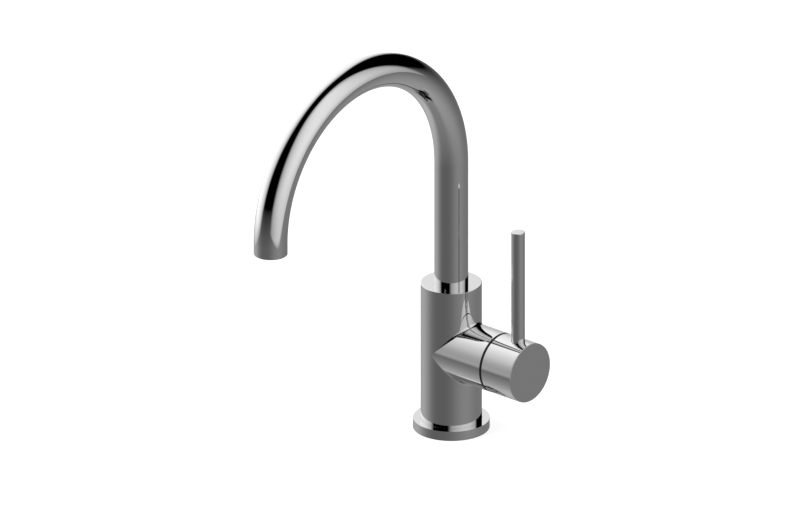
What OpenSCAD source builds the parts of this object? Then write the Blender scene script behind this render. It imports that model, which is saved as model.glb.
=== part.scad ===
// Single-lever basin mixer with a gooseneck spout and an upright pin lever on its side.
// Origin: centre of the flange's underside, on the basin's deck. +Z is up,
// the spout reaches towards -Y and the lever's boss towards +X. Millimetres.

/* [Body] */
// Diameter of the body, the side boss and the lever hub
body_d = 40; // [38:1:46]
// Height of the boss and lever axis above the deck
boss_z = 56.6; // [45:0.2:80]
// Brass between the cartridge's cavity and the spout's socket above it
socket_floor_t = 3.3; // [2:0.1:10]
// Distance from the body's axis to the face of the side boss
boss_reach = 41.4; // [41:0.2:48]
// Fine chamfer on the outer edges
edge = 0.3; // [0.1:0.1:0.6]

/* [Base flange] */
// Width of the flange's rim around the body
flange_rim = 5; // [3:0.5:12]
// Height of the flange
flange_h = 6.5; // [5:0.5:12]
// Thickness of the ledge that the body stands on
flange_ledge = 2.5; // [2:0.5:4]
// Diameter of the hole through the flange, for the hoses and the stud
flange_bore_d = 34; // [30:1:35]
// Width of the rubber seal in the flange's underside
seal_w = 3; // [2:0.5:4]
// Depth of the rubber seal
seal_t = 1.5; // [1:0.25:1.5]
// Distance of the seal from the flange's outer edge
seal_inset = 1.5; // [1:0.25:3]

/* [Spout] */
// Outer diameter of the spout tube
tube_d = 22.2; // [20:0.2:23]
// Wall of the spout tube
tube_wall = 1.5; // [1:0.25:1.75]
// Centreline radius of the arch, half the spout's reach
arch_r = 89.4; // [60:0.1:110]
// Straight length of the riser between the body and the arch
riser_l = 85.2; // [40:0.2:130]
// Straight length of the tube below the arch, at the outlet
outlet_drop = 7.6; // [7:0.2:20]
// Length of tube that stands inside the body's socket
tube_engage = 10; // [8:0.5:16]
// Radial gap between the tube and the socket's wall
socket_gap = 0.15; // [0.1:0.05:0.3]

/* [Spout connector] */
// Diameter of the waterway through the connector
connector_bore_d = 14; // [10:0.5:15]
// Length of the connector's spigot, brazed inside the tube
spigot_l = 9; // [6:1:20]
// Section diameter of the two O-rings
oring_d = 2; // [1.6:0.1:2.2]
// Height of the plastic bearing ring
slip_ring_h = 2.4; // [1.5:0.1:3]
// Radial thickness of the bearing ring
slip_ring_t = 1.15; // [0.8:0.05:1.5]
// Thickness of the thrust washer under the connector
thrust_t = 1; // [0.6:0.1:1.5]
// Width of the groove that the retaining screw runs in
keeper_groove_w = 3.6; // [3:0.1:4.2]
// Depth of that groove
keeper_groove_t = 1.9; // [1.5:0.1:2.2]

/* [Cartridge] */
// Diameter of the ceramic cartridge
cart_d = 25; // [24:0.5:26]
// Distance from the boss's face back to the lever's tilt pivot
pivot_inset = 16.9; // [16.5:0.1:18.5]
// Distance from the tilt pivot down to the stem's ball
arm_l = 7; // [6.6:0.1:7.4]
// Largest tilt of the lever, in degrees
tilt_max = 25; // [20:1:25]
// Turn of the lever to each side, in degrees
turn_max = 45; // [30:1:50]
// Width of the square lever stem
stem_w = 7; // [6:0.5:7]
// Diameter of the pin on which the stem tilts
pivot_pin_d = 3; // [2.5:0.1:3.5]
// Diameter of the moving ceramic disc
moving_disc_d = 16.4; // [15.5:0.1:16.4]
// Diameter of the fixed ceramic disc
fixed_disc_d = 19.2; // [18:0.1:19.6]
// Thickness of each ceramic disc
disc_t = 3; // [2.5:0.1:3.2]
// Thickness of the cartridge's port plate
port_plate_t = 5; // [4:0.5:6]
// Diameter of the hot and cold ports
inlet_port_d = 3; // [2.4:0.1:3.2]
// Diameter of the mixed-water port
outlet_port_d = 3.8; // [3:0.1:4]
// Length of the ring nut that clamps the cartridge
nut_l = 8; // [6:0.5:8]
// Diameter of the ring nut's thread
nut_d = 31; // [30:0.5:32]

/* [Lever] */
// Gap between the dome and the cup of the hub, measured along the radius
dome_gap = 1.2; // [0.5:0.1:1.5]
// Wall of the dome cover
dome_wall = 1.4; // [1:0.1:1.8]
// Distance from the boss's face to the flat end of the hub
hub_l = 26.6; // [24:0.2:34]
// Diameter of the lever pin
pin_d = 9; // [7:0.5:10]
// Length of the lever pin above the hub
pin_l = 77; // [40:0.2:110]
// Distance from the boss's face to the lever pin's axis
pin_offset = 16.3; // [15:0.1:18]
// Diameter of the lever pin's threaded tenon
tenon_d = 6; // [5:0.5:6]
// Diameter of the grub screws
grub_d = 5; // [4:0.5:5]
// Length of the hub's grub screw
grub_l = 10; // [8:0.5:12]

/* [Aerator] */
// Length of the threaded aerator cup
aerator_l = 4.2; // [4:0.1:5]
// Distance of the cup above the spout's rim
aerator_recess = 0.6; // [0.3:0.1:0.8]
// Wall of the aerator cup
aerator_wall = 1.2; // [1:0.1:1.6]
// Distance between the holes of the honeycomb
comb_pitch = 2.2; // [2:0.1:3]
// Diameter of the holes of the honeycomb
comb_hole_d = 1.7; // [1:0.1:1.8]

/* [Connections and fixing] */
// Diameter of the hot and cold hose threads
inlet_d = 9; // [8:0.5:9]
// Depth of the hose threads
inlet_l = 12; // [8:1:16]
// Distance of the hose threads to each side
inlet_side = 6.2; // [6.2:0.1:7]
// Distance of the hose threads behind the body's axis
inlet_back = 6; // [5:0.1:7]
// Diameter of the fixing stud
stud_d = 8; // [6:1:8]
// Distance of the fixing stud in front of the body's axis
stud_x = 10; // [8:0.5:12]
// Length of the fixing stud below the deck's upper side
stud_l = 45; // [42:1:90]
// Depth of the stud in the body
stud_engage = 12; // [8:1:16]
// Thickness of the basin's deck between flange and gasket
deck_t = 15; // [4:1:28]
// Outer diameter of the gasket and the bracket under the deck
bracket_d = 48; // [44:1:54]
// Thickness of the rubber gasket
gasket_t = 3; // [2:0.5:4]
// Thickness of the metal bracket
bracket_t = 2.5; // [1.5:0.5:4]
// Height of the fixing nut
fixing_nut_h = 6.5; // [5:0.5:8]
// Width across the flats of the fixing nut
fixing_nut_af = 13; // [12:0.5:14]

/* [Hidden] */

$fn = 96;
// Overlap of a cutting tool past the face that it cuts
eps = 0.5;
// Radial clearance between pieces that fit in one another
fit = 0.05;
// Clearance between pieces that move past each other
run_gap = 0.3;
// Clearance of flat faces that slide on each other
slide_gap = 0.1;

// Colours of the finishes
chrome_c = "silver";
brass_c = "goldenrod";
ceramic_c = "white";
plastic_c = "lightgray";
housing_c = "dimgray";
rubber_c = "black";
steel_c = "gray";

// Radii and levels of the body
body_r = body_d / 2;
flange_r = body_r + flange_rim;
flange_bore_r = flange_bore_d / 2;
seal_r = flange_r - seal_inset;
cart_r = cart_d / 2;
cavity_r = cart_r + 0.1;

// The spout's socket, its connector and their grooves, from the cartridge's cavity up
tube_r = tube_d / 2;
tube_in_r = tube_r - tube_wall;
socket_r = tube_r + socket_gap;
chamber_h = 1.5;
chamber_r = socket_r - 1.15;
socket_z = boss_z + cavity_r + socket_floor_t + chamber_h;
connector_z = socket_z + thrust_t + slide_gap;
connector_r = tube_r - 0.1;
groove_play = 0.1;
oring_groove_r = socket_r - fit - oring_d - groove_play;
oring_groove_h = oring_d + 4 * groove_play;
groove_margin = 1.3;
oring_low_z = connector_z + groove_margin;
keeper_z = oring_low_z + oring_groove_h + groove_margin;
oring_high_z = keeper_z + keeper_groove_w + groove_margin;
slip_ring_z = oring_high_z + oring_groove_h + groove_margin / 2;
slip_ring_out_r = socket_r - fit;
slip_ring_in_r = slip_ring_out_r - slip_ring_t;
collar_t = 1.55;
tube_foot_z = slip_ring_z + slip_ring_h + collar_t;
connector_h = tube_foot_z - connector_z;
body_h = tube_foot_z + tube_engage;
arch_z = body_h + riser_l;
keeper_y = connector_r - keeper_groove_t;
screw_axis_z = keeper_z + keeper_groove_w / 2;

// The retaining screw at the back of the body
screw_tip_r = keeper_groove_w / 2 - run_gap;
screw_tip_y = keeper_y + 0.5;
screw_shoulder_y = socket_r + 0.8;
screw_recess = 2;
hex_socket_af = grub_d / 2;
hex_socket_t = 2.5;

// Stations along the boss's axis
pivot_x = boss_reach - pivot_inset;
rotor_r = cart_r - 2.5;
rotor_above_pivot = 3.5;
rotor_top_x = pivot_x + rotor_above_pivot;
housing_lip_t = 1;
housing_top_x = rotor_top_x + slide_gap + housing_lip_t;
carrier_above_ball = 1.5;
carrier_top_x = pivot_x - arm_l + carrier_above_ball;
carrier_h = 10;
carrier_x = carrier_top_x - carrier_h;
moving_disc_x = carrier_x - disc_t;
fixed_disc_x = moving_disc_x - disc_t;
floor_x = fixed_disc_x - port_plate_t;
rotor_x = carrier_x + run_gap;
channel_top_x = carrier_top_x + run_gap;
nut_r = nut_d / 2;
nut_in_r = 10.6;

// The stem's travel, and the disc's travel that follows it
disc_travel = arm_l * tilt_max * PI / 180;
ball_r = 2.3;
neck_r = 1.5;
stem_block_x = pivot_x - 3.7;
stem_block_w = stem_w - 1;
stem_half = stem_w / 2;
stem_head_x = pivot_x + (rotor_above_pivot + run_gap + stem_half * sin(tilt_max)) / cos(tilt_max);
hub_end_x = boss_reach + hub_l;
stem_end_x = hub_end_x - 5;

// The port pattern, as [y, z] from the boss's axis
hot_port = [4, 3];
cold_port = [-4, 3];
outlet_port = [0, -1.6];
port_seal_w = 1;
port_seal_t = 1;
pocket_r = 3.3;
pocket_t = 1.8;
peg_r = 1.2;
peg_l = 1.5;
peg_y = 5.8;
key_r = 1.2;
key_l = 2;
key_off = 9.6;

// Waterways inside the body
riser_r = 2.8;
outlet_riser_x = -9;

// The dome between boss and hub, centred on the tilt pivot
dome_r = norm([pivot_inset, body_r]);
cup_r = dome_r + dome_gap;
skirt_r = nut_r - fit;
skirt_in_r = nut_r - 1.5;
skirt_x = housing_top_x + nut_l + 0.9;
skirt_top_x = pivot_x + sqrt(pow(dome_r, 2) - pow(skirt_r, 2)) - dome_wall / 2;
slot_play = 0.6;
slot_polar = tilt_max + asin((stem_half + slot_play) / dome_r);

// The lever pin and the hub's grub screw
pin_x = boss_reach + pin_offset;
pin_seat = 2;
tenon_z = boss_z + stem_half + 2;
pin_top_z = boss_z + body_r + pin_l;
pin_foot_z = boss_z + body_r - pin_seat;
screw_x = pin_x;
plug_r = 3;
plug_t = 3.5;

// The aerator's stack, from the rim upwards
outlet_z = arch_z - outlet_drop;
outlet_y = -2 * arch_r;
aerator_r = tube_in_r - fit;
aerator_z = outlet_z + aerator_recess;
aerator_lip_t = 0.8;
aerator_in_r = aerator_r - aerator_wall;
insert_r = aerator_in_r - fit;
screen_t = 0.4;
screen_hole_r = 0.5;
insert_z = aerator_z + aerator_lip_t;
insert_h = aerator_l - aerator_lip_t - screen_t;
screen_z = insert_z + insert_h;
aerator_seal_z = aerator_z + aerator_l;
aerator_seal_t = 1.2;
seat_z = aerator_seal_z + aerator_seal_t;
seat_t = 1.8;
seat_in_r = 7;

// The fixing under the deck
stud_r = stud_d / 2;
gasket_z = -deck_t - gasket_t;
bracket_z = gasket_z - bracket_t;
nut_z = bracket_z - fixing_nut_h;
horseshoe_gap = 2 * (inlet_side + inlet_d / 2 + 1.9);
horseshoe_end_x = 3.5;

// Cylinder with a chamfered foot and top
module turned(r, h, foot, top) {
    rotate_extrude()
        polygon([[0, 0], [r - foot, 0], [r, foot], [r, h - top], [r - top, h], [0, h]]);
}

// Round ring standing on its local plane
module ring(out_r, in_r, h) {
    difference() {
        cylinder(r = out_r, h = h);
        translate([0, 0, -eps]) cylinder(r = in_r, h = h + 2 * eps);
    }
}

// Places its children on the boss's axis at x, their +Z along +X
module along_boss(x) {
    translate([x, 0, boss_z]) rotate([0, 90, 0]) children();
}

// Cylinder along +X from x0 to x1, off the boss's axis by at = [y, z]
module bar_x(x0, x1, r, at = [0, 0]) {
    translate([x0, at[0], boss_z + at[1]]) rotate([0, 90, 0]) cylinder(r = r, h = x1 - x0);
}

// Ball around the tilt pivot, its poles on the boss's axis
module pivot_ball(r) {
    along_boss(pivot_x) sphere(r = r);
}

// Box centred on the boss's axis from x0 to x1, wide in Y, from z0 to z1 around that axis
module block_x(x0, x1, wide, z0, z1) {
    translate([x0, -wide / 2, boss_z + z0]) cube([x1 - x0, wide, z1 - z0]);
}

// Runs its child once for each port, with the port's place and radius in $at and $r
module each_port() {
    for (p = [[hot_port, inlet_port_d / 2], [cold_port, inlet_port_d / 2],
              [outlet_port, outlet_port_d / 2]]) {
        $at = p[0];
        $r = p[1];
        children();
    }
}

// Hexagonal recess of a grub screw, its mouth at the local origin, going down
module hex_recess() {
    translate([0, 0, -hex_socket_t])
        cylinder(r = hex_socket_af / sqrt(3), h = hex_socket_t + eps, $fn = 6);
}

// Solid shape of the spout's centreline at radius r, its ends longer by extra
module gooseneck(r, extra) {
    translate([0, 0, tube_foot_z - extra]) cylinder(r = r, h = arch_z - tube_foot_z + extra);
    translate([0, -arch_r, arch_z]) rotate([90, 0, 90])
        rotate_extrude(angle = 180) translate([arch_r, 0]) circle(r = r);
    translate([0, outlet_y, outlet_z - extra]) cylinder(r = r, h = outlet_drop + extra);
}

// Hexagonal pattern of holes inside a circle of radius r
module comb_holes(r, hole_r, h) {
    row_pitch = comb_pitch * sqrt(3) / 2;
    rows = floor(r / row_pitch);
    for (row = [-rows : rows]) {
        shift = abs(row) % 2 == 1 ? comb_pitch / 2 : 0;
        columns = ceil(r / comb_pitch);
        for (column = [-columns : columns]) {
            at = [column * comb_pitch + shift, row * row_pitch];
            if (norm(at) + hole_r < r)
                translate([at[0], at[1], -eps]) cylinder(r = hole_r, h = h + 2 * eps, $fn = 24);
        }
    }
}

// Horseshoe plate around the hoses, with the stud's hole
module horseshoe(r, t) {
    difference() {
        cylinder(r = r, h = t);
        translate([-r - eps, -horseshoe_gap / 2, -eps])
            cube([r + eps + horseshoe_end_x, horseshoe_gap, t + 2 * eps]);
        translate([stud_x, 0, -eps]) cylinder(r = stud_r + 0.2, h = t + 2 * eps);
    }
}

// Brass body with its side boss, bored for the cartridge, the spout and the water
module body() {
    color(chrome_c) difference() {
        union() {
            translate([0, 0, flange_ledge]) turned(body_r, body_h - flange_ledge, 0, edge);
            along_boss(0) cylinder(r = body_r, h = boss_reach);
        }
        bar_x(floor_x, boss_reach, cavity_r);
        bar_x(housing_top_x, boss_reach + eps, nut_r);
        translate([0, 0, socket_z]) cylinder(r = socket_r, h = body_h - socket_z + eps);
        translate([0, 0, socket_z - chamber_h]) cylinder(r = chamber_r, h = chamber_h + eps);
        waterways();
        translate([stud_x, 0, flange_ledge - eps])
            cylinder(r = stud_r + fit, h = stud_engage + eps);
        translate([0, 0, screw_axis_z]) rotate([-90, 0, 0])
            cylinder(r = grub_d / 2 + fit, h = body_r + eps);
        for (side = [-1, 1])
            bar_x(floor_x - key_l, floor_x + eps, key_r + fit, [0, side * key_off]);
    }
}

// Hot and cold channels up to the cartridge, and the mixed channel up to the spout
module waterways() {
    for (port = [hot_port, cold_port]) {
        side = sign(port[0]);
        translate([-inlet_back, side * inlet_side, flange_ledge - eps])
            cylinder(r = riser_r, h = boss_z + port[1] + inlet_port_d / 2 - flange_ledge + eps);
        translate([-inlet_back, side * inlet_side, flange_ledge - eps])
            cylinder(r = inlet_d / 2, h = inlet_l + eps);
        bar_x(-inlet_back, floor_x + eps, inlet_port_d / 2, port);
    }
    translate([outlet_riser_x, 0, boss_z + outlet_port[1] - outlet_port_d / 2])
        cylinder(r = riser_r, h = socket_z - boss_z - outlet_port[1] + outlet_port_d / 2);
    bar_x(outlet_riser_x, floor_x + eps, outlet_port_d / 2, outlet_port);
}

// Round flange at the foot, with the body's seat and the seal's groove
module base_flange() {
    color(chrome_c) difference() {
        turned(flange_r, flange_h, 0, edge);
        translate([0, 0, -eps]) cylinder(r = flange_bore_r, h = flange_h);
        translate([0, 0, flange_ledge]) cylinder(r = body_r + fit, h = flange_h);
        translate([0, 0, -eps])
            ring(seal_r + fit, seal_r - seal_w - fit, seal_t + eps);
    }
}

// Rubber ring flush with the flange's underside
module base_seal() {
    color(rubber_c) ring(seal_r, seal_r - seal_w, seal_t);
}

// Port plate of the cartridge, with two keys in the body's floor
module cartridge_base() {
    color(plastic_c) difference() {
        union() {
            bar_x(floor_x, fixed_disc_x, cart_r);
            for (side = [-1, 1])
                bar_x(floor_x - key_l + slide_gap, floor_x + eps, key_r, [0, side * key_off]);
        }
        each_port() {
            bar_x(floor_x - eps, fixed_disc_x + eps, $r, $at);
            bar_x(floor_x - eps, floor_x + port_seal_t, $r + port_seal_w + fit, $at);
        }
    }
}

// Three rubber seals around the ports, in the port plate's underside
module cartridge_seals() {
    color(rubber_c) each_port()
        translate([floor_x, $at[0], boss_z + $at[1]]) rotate([0, 90, 0])
            ring($r + port_seal_w, $r, port_seal_t);
}

// Shell of the cartridge, with the lip that holds the rotor
module cartridge_housing() {
    color(housing_c) difference() {
        bar_x(fixed_disc_x, housing_top_x, cart_r);
        bar_x(fixed_disc_x - eps, rotor_top_x + slide_gap, rotor_r + fit);
        bar_x(fixed_disc_x, housing_top_x + eps, rotor_r - 1.5);
    }
}

// Ceramic disc that stays on the port plate
module fixed_disc() {
    color(ceramic_c) difference() {
        bar_x(fixed_disc_x, moving_disc_x, fixed_disc_d / 2);
        each_port() bar_x(fixed_disc_x - eps, moving_disc_x + eps, $r, $at);
    }
}

// Ceramic disc that slides and turns on the fixed one, with its mixing pocket
module moving_disc() {
    low = [0, -disc_travel / 2];
    color(ceramic_c) difference() {
        bar_x(moving_disc_x, carrier_x, moving_disc_d / 2, low);
        bar_x(moving_disc_x - eps, moving_disc_x + pocket_t, pocket_r, low);
        for (side = [-1, 1])
            bar_x(carrier_x - peg_l - slide_gap, carrier_x + eps, peg_r + fit,
                  [side * peg_y, low[1]]);
    }
}

// Plastic shoe between the stem's ball and the moving disc
module disc_carrier() {
    low = [0, -disc_travel / 2];
    color(plastic_c) difference() {
        union() {
            intersection() {
                bar_x(carrier_x, carrier_top_x, rotor_r - 2, low);
                block_x(carrier_x - eps, carrier_top_x + eps, 2 * channel_half() - 2 * slide_gap,
                        -rotor_r, rotor_r);
            }
            for (side = [-1, 1])
                bar_x(carrier_x - peg_l, carrier_x + eps, peg_r, [side * peg_y, low[1]]);
        }
        bar_x(pivot_x - arm_l - ball_r - run_gap, carrier_top_x + eps, ball_r + run_gap);
    }
}

// Half width of the channel in which the shoe slides
function channel_half() = rotor_r - 2.3;

// Turning part of the cartridge, with the shoe's channel and the stem's slot
module cartridge_rotor() {
    swing_low = (pivot_x - channel_top_x) * tan(tilt_max) + stem_half;
    swing_high = rotor_above_pivot * tan(tilt_max) + stem_half / cos(tilt_max) + run_gap;
    color(plastic_c) difference() {
        bar_x(rotor_x, rotor_top_x, rotor_r);
        block_x(rotor_x - eps, channel_top_x, 2 * channel_half(), -rotor_r, rotor_r);
        block_x(channel_top_x - eps, pivot_x + 1, stem_block_w + run_gap,
                -stem_half - run_gap, swing_low);
        block_x(pivot_x - 1, rotor_top_x + eps, stem_block_w + run_gap,
                -swing_high, stem_half + run_gap);
        translate([pivot_x, 0, boss_z]) rotate([90, 0, 0])
            cylinder(r = pivot_pin_d / 2 + fit, h = 2 * rotor_r, center = true);
    }
}

// Steel pin through the rotor and the stem
module stem_pivot_pin() {
    color(steel_c) translate([pivot_x, 0, boss_z]) rotate([90, 0, 0])
        cylinder(r = pivot_pin_d / 2, h = 2 * rotor_r - 1.2, center = true);
}

// Square stem with the ball end that moves the shoe
module lever_stem() {
    color(brass_c) difference() {
        union() {
            translate([pivot_x - arm_l, 0, boss_z]) sphere(r = ball_r);
            bar_x(pivot_x - arm_l, stem_block_x + eps, neck_r);
            block_x(stem_block_x, stem_head_x + eps, stem_block_w, -stem_half, stem_half);
            block_x(stem_head_x, stem_end_x, stem_w, -stem_half, stem_half);
        }
        translate([pivot_x, 0, boss_z]) rotate([90, 0, 0])
            cylinder(r = pivot_pin_d / 2 + fit, h = stem_w + 2 * eps, center = true);
    }
}

// Ring nut that clamps the cartridge, with four spanner slots
module cartridge_nut() {
    slot_w = 3;
    slot_t = 2;
    color(brass_c) difference() {
        bar_x(housing_top_x, housing_top_x + nut_l, nut_r - fit);
        bar_x(housing_top_x - eps, housing_top_x + nut_l + eps, nut_in_r);
        for (turn = [0, 90])
            translate([housing_top_x + nut_l - slot_t, 0, boss_z]) rotate([turn, 0, 0])
                translate([0, -slot_w / 2, -nut_r - eps])
                    cube([slot_t + eps, slot_w, 2 * (nut_r + eps)]);
    }
}

// Domed cover on the boss, open where the stem sweeps
module dome_cover() {
    color(chrome_c) difference() {
        union() {
            difference() {
                intersection() {
                    pivot_ball(dome_r);
                    bar_x(boss_reach, boss_reach + dome_r, body_r);
                }
                pivot_ball(dome_r - dome_wall);
            }
            along_boss(skirt_x) ring(skirt_r, skirt_in_r, skirt_top_x - skirt_x);
        }
        stem_sweep();
    }
}

// Space that the stem sweeps where it passes the dome, over its whole tilt and turn
module stem_sweep() {
    far = dome_r + 2;
    slot_half = stem_half + slot_play;
    translate([pivot_x, 0, boss_z]) intersection() {
        rotate([0, 90, 0]) cylinder(r1 = 0.5, r2 = far * tan(slot_polar), h = far);
        rotate([0, 90, 0]) linear_extrude(far) union() {
            polygon([[0, 0], [far * cos(turn_max), far * sin(turn_max)], [2 * far, 0],
                     [far * cos(turn_max), -far * sin(turn_max)]]);
            circle(r = norm([stem_half, stem_half]) + slot_play);
            for (turn = [-turn_max, turn_max])
                rotate(turn) translate([0, -slot_half]) square([far, 2 * slot_half]);
        }
    }
}

// Hub of the lever, with the cup that rides over the dome
module handle_hub() {
    color(chrome_c) difference() {
        along_boss(boss_reach) turned(body_r, hub_l, 0, edge);
        pivot_ball(cup_r);
        block_x(pivot_x, stem_end_x + 2 * fit, stem_w + 2 * fit, -stem_half - fit,
                stem_half + fit);
        translate([pin_x, 0, tenon_z - slide_gap])
            cylinder(r = tenon_d / 2 + fit, h = body_r);
        translate([pin_x, 0, pin_foot_z]) cylinder(r = pin_d / 2 + fit, h = body_r);
        translate([screw_x, 0, boss_z - body_r - eps])
            cylinder(r = grub_d / 2 + fit, h = body_r + eps);
        translate([screw_x, 0, boss_z - body_r - eps])
            cylinder(r = plug_r + fit, h = plug_t + eps);
    }
}

// Upright pin of the lever, with its threaded tenon in the hub
module lever_pin() {
    color(chrome_c) {
        translate([pin_x, 0, pin_foot_z])
            turned(pin_d / 2, pin_top_z - pin_foot_z, 0, edge);
        translate([pin_x, 0, tenon_z]) cylinder(r = tenon_d / 2, h = pin_foot_z - tenon_z + eps);
    }
}

// Grub screw that presses on the stem from below
module handle_grub_screw() {
    color(steel_c) translate([screw_x, 0, boss_z - stem_half]) mirror([0, 0, 1])
        difference() {
            cylinder(r = grub_d / 2, h = grub_l);
            translate([0, 0, grub_l]) hex_recess();
        }
}

// Plug in the mouth of the grub screw's hole, flush with the hub
module grub_screw_plug() {
    color(chrome_c) intersection() {
        translate([screw_x, 0, boss_z - body_r - eps]) cylinder(r = plug_r, h = plug_t + eps);
        bar_x(boss_reach, hub_end_x, body_r);
    }
}

// Bent tube of the spout
module spout_tube() {
    color(chrome_c) difference() {
        gooseneck(tube_r, 0);
        gooseneck(tube_in_r, eps);
    }
}

// Connector brazed into the tube's foot, with the grooves of its rings
module spout_connector() {
    color(brass_c) difference() {
        union() {
            translate([0, 0, connector_z]) cylinder(r = connector_r, h = connector_h);
            translate([0, 0, tube_foot_z - eps])
                cylinder(r = tube_in_r - fit, h = spigot_l + eps);
        }
        translate([0, 0, connector_z - eps])
            cylinder(r = connector_bore_d / 2, h = connector_h + spigot_l + 2 * eps);
        for (z = [oring_low_z, oring_high_z])
            translate([0, 0, z]) ring(tube_r + eps, oring_groove_r, oring_groove_h);
        translate([0, 0, keeper_z]) ring(tube_r + eps, keeper_y, keeper_groove_w);
        translate([0, 0, slip_ring_z - slide_gap])
            ring(tube_r + eps, slip_ring_in_r - fit, slip_ring_h + 2 * slide_gap);
    }
}

// The two O-rings of the connector
module spout_o_rings() {
    centre_r = socket_r - fit - oring_d / 2;
    color(rubber_c) for (z = [oring_low_z, oring_high_z])
        translate([0, 0, z + oring_groove_h / 2])
            rotate_extrude() translate([centre_r, 0]) circle(r = oring_d / 2, $fn = 48);
}

// Plastic ring that guides the connector in the socket
module spout_slip_ring() {
    color(plastic_c) translate([0, 0, slip_ring_z])
        ring(slip_ring_out_r, slip_ring_in_r, slip_ring_h);
}

// Washer on the socket's floor that carries the spout
module spout_thrust_washer() {
    color(plastic_c) translate([0, 0, socket_z])
        ring(socket_r - fit, connector_bore_d / 2 + 1, thrust_t);
}

// Grub screw at the back, its tip in the connector's groove
module spout_retaining_screw() {
    head_y = body_r - screw_recess;
    color(steel_c) translate([0, 0, screw_axis_z]) rotate([-90, 0, 0]) difference() {
        union() {
            translate([0, 0, screw_shoulder_y])
                cylinder(r = grub_d / 2, h = head_y - screw_shoulder_y);
            translate([0, 0, screw_tip_y])
                cylinder(r = screw_tip_r, h = screw_shoulder_y - screw_tip_y + eps);
        }
        translate([0, 0, head_y]) hex_recess();
    }
}

// Brazed ring inside the spout's mouth that the aerator closes on
module aerator_seat() {
    color(brass_c) translate([0, outlet_y, seat_z]) ring(aerator_r - fit, seat_in_r, seat_t);
}

// Rubber washer between the seat and the aerator
module aerator_seal() {
    color(rubber_c) translate([0, outlet_y, aerator_seal_z])
        ring(aerator_r - fit, seat_in_r + 0.5, aerator_seal_t);
}

// Fine screen above the honeycomb
module aerator_screen() {
    color(steel_c) translate([0, outlet_y, screen_z]) difference() {
        cylinder(r = insert_r, h = screen_t);
        comb_holes(insert_r - 0.6, screen_hole_r, screen_t);
    }
}

// Honeycomb that straightens the jet
module aerator_insert() {
    color(plastic_c) translate([0, outlet_y, insert_z]) difference() {
        cylinder(r = insert_r, h = insert_h);
        comb_holes(insert_r - 0.6, comb_hole_d / 2, insert_h);
    }
}

// Threaded cup that holds the honeycomb inside the spout's mouth
module aerator_housing() {
    color(chrome_c) translate([0, outlet_y, aerator_z]) difference() {
        cylinder(r = aerator_r, h = aerator_l);
        translate([0, 0, aerator_lip_t]) cylinder(r = aerator_in_r, h = aerator_l);
        translate([0, 0, -eps]) cylinder(r = aerator_in_r - 0.8, h = aerator_l);
    }
}

// Threaded stud under the body
module fixing_stud() {
    color(steel_c) translate([stud_x, 0, -stud_l])
        turned(stud_r, stud_l + flange_ledge + stud_engage, 0.8, 0.8);
}

// Rubber horseshoe against the deck's underside
module fixing_gasket() {
    color(rubber_c) translate([0, 0, gasket_z]) horseshoe(bracket_d / 2, gasket_t);
}

// Metal horseshoe under the gasket
module fixing_bracket() {
    color(steel_c) translate([0, 0, bracket_z]) horseshoe(bracket_d / 2, bracket_t);
}

// Nut that draws the bracket up
module fixing_nut() {
    color(brass_c) translate([stud_x, 0, nut_z]) difference() {
        cylinder(r = fixing_nut_af / sqrt(3), h = fixing_nut_h, $fn = 6);
        translate([0, 0, -eps]) cylinder(r = stud_r + fit, h = fixing_nut_h + 2 * eps);
    }
}

body();
base_flange();
base_seal();
cartridge_base();
cartridge_seals();
cartridge_housing();
fixed_disc();
moving_disc();
disc_carrier();
cartridge_rotor();
stem_pivot_pin();
lever_stem();
cartridge_nut();
dome_cover();
handle_hub();
lever_pin();
handle_grub_screw();
grub_screw_plug();
spout_tube();
spout_connector();
spout_o_rings();
spout_slip_ring();
spout_thrust_washer();
spout_retaining_screw();
aerator_seat();
aerator_seal();
aerator_screen();
aerator_insert();
aerator_housing();
fixing_stud();
fixing_gasket();
fixing_bracket();
fixing_nut();
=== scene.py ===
import logging
import math
from dataclasses import dataclass, field
from enum import Enum
from typing import Callable, Iterable, Sequence

import bmesh
import bpy
from mathutils import Matrix, Quaternion, Vector


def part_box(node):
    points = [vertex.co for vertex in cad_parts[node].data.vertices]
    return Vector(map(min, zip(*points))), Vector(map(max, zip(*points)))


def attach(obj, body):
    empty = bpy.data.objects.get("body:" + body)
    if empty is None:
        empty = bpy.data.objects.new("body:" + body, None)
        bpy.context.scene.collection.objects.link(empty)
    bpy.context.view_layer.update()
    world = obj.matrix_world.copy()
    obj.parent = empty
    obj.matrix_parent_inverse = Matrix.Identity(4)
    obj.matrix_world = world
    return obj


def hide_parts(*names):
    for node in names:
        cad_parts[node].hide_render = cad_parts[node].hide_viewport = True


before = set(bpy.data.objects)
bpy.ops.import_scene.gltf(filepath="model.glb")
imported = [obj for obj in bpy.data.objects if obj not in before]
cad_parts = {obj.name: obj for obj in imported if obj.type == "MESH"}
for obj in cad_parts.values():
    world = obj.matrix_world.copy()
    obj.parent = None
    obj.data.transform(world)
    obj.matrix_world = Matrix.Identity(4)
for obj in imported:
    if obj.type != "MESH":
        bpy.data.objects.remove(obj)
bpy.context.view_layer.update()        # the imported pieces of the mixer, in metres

log = logging.getLogger("mixer")

Point = tuple[float, float]
Triple = tuple[float, float, float]

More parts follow.
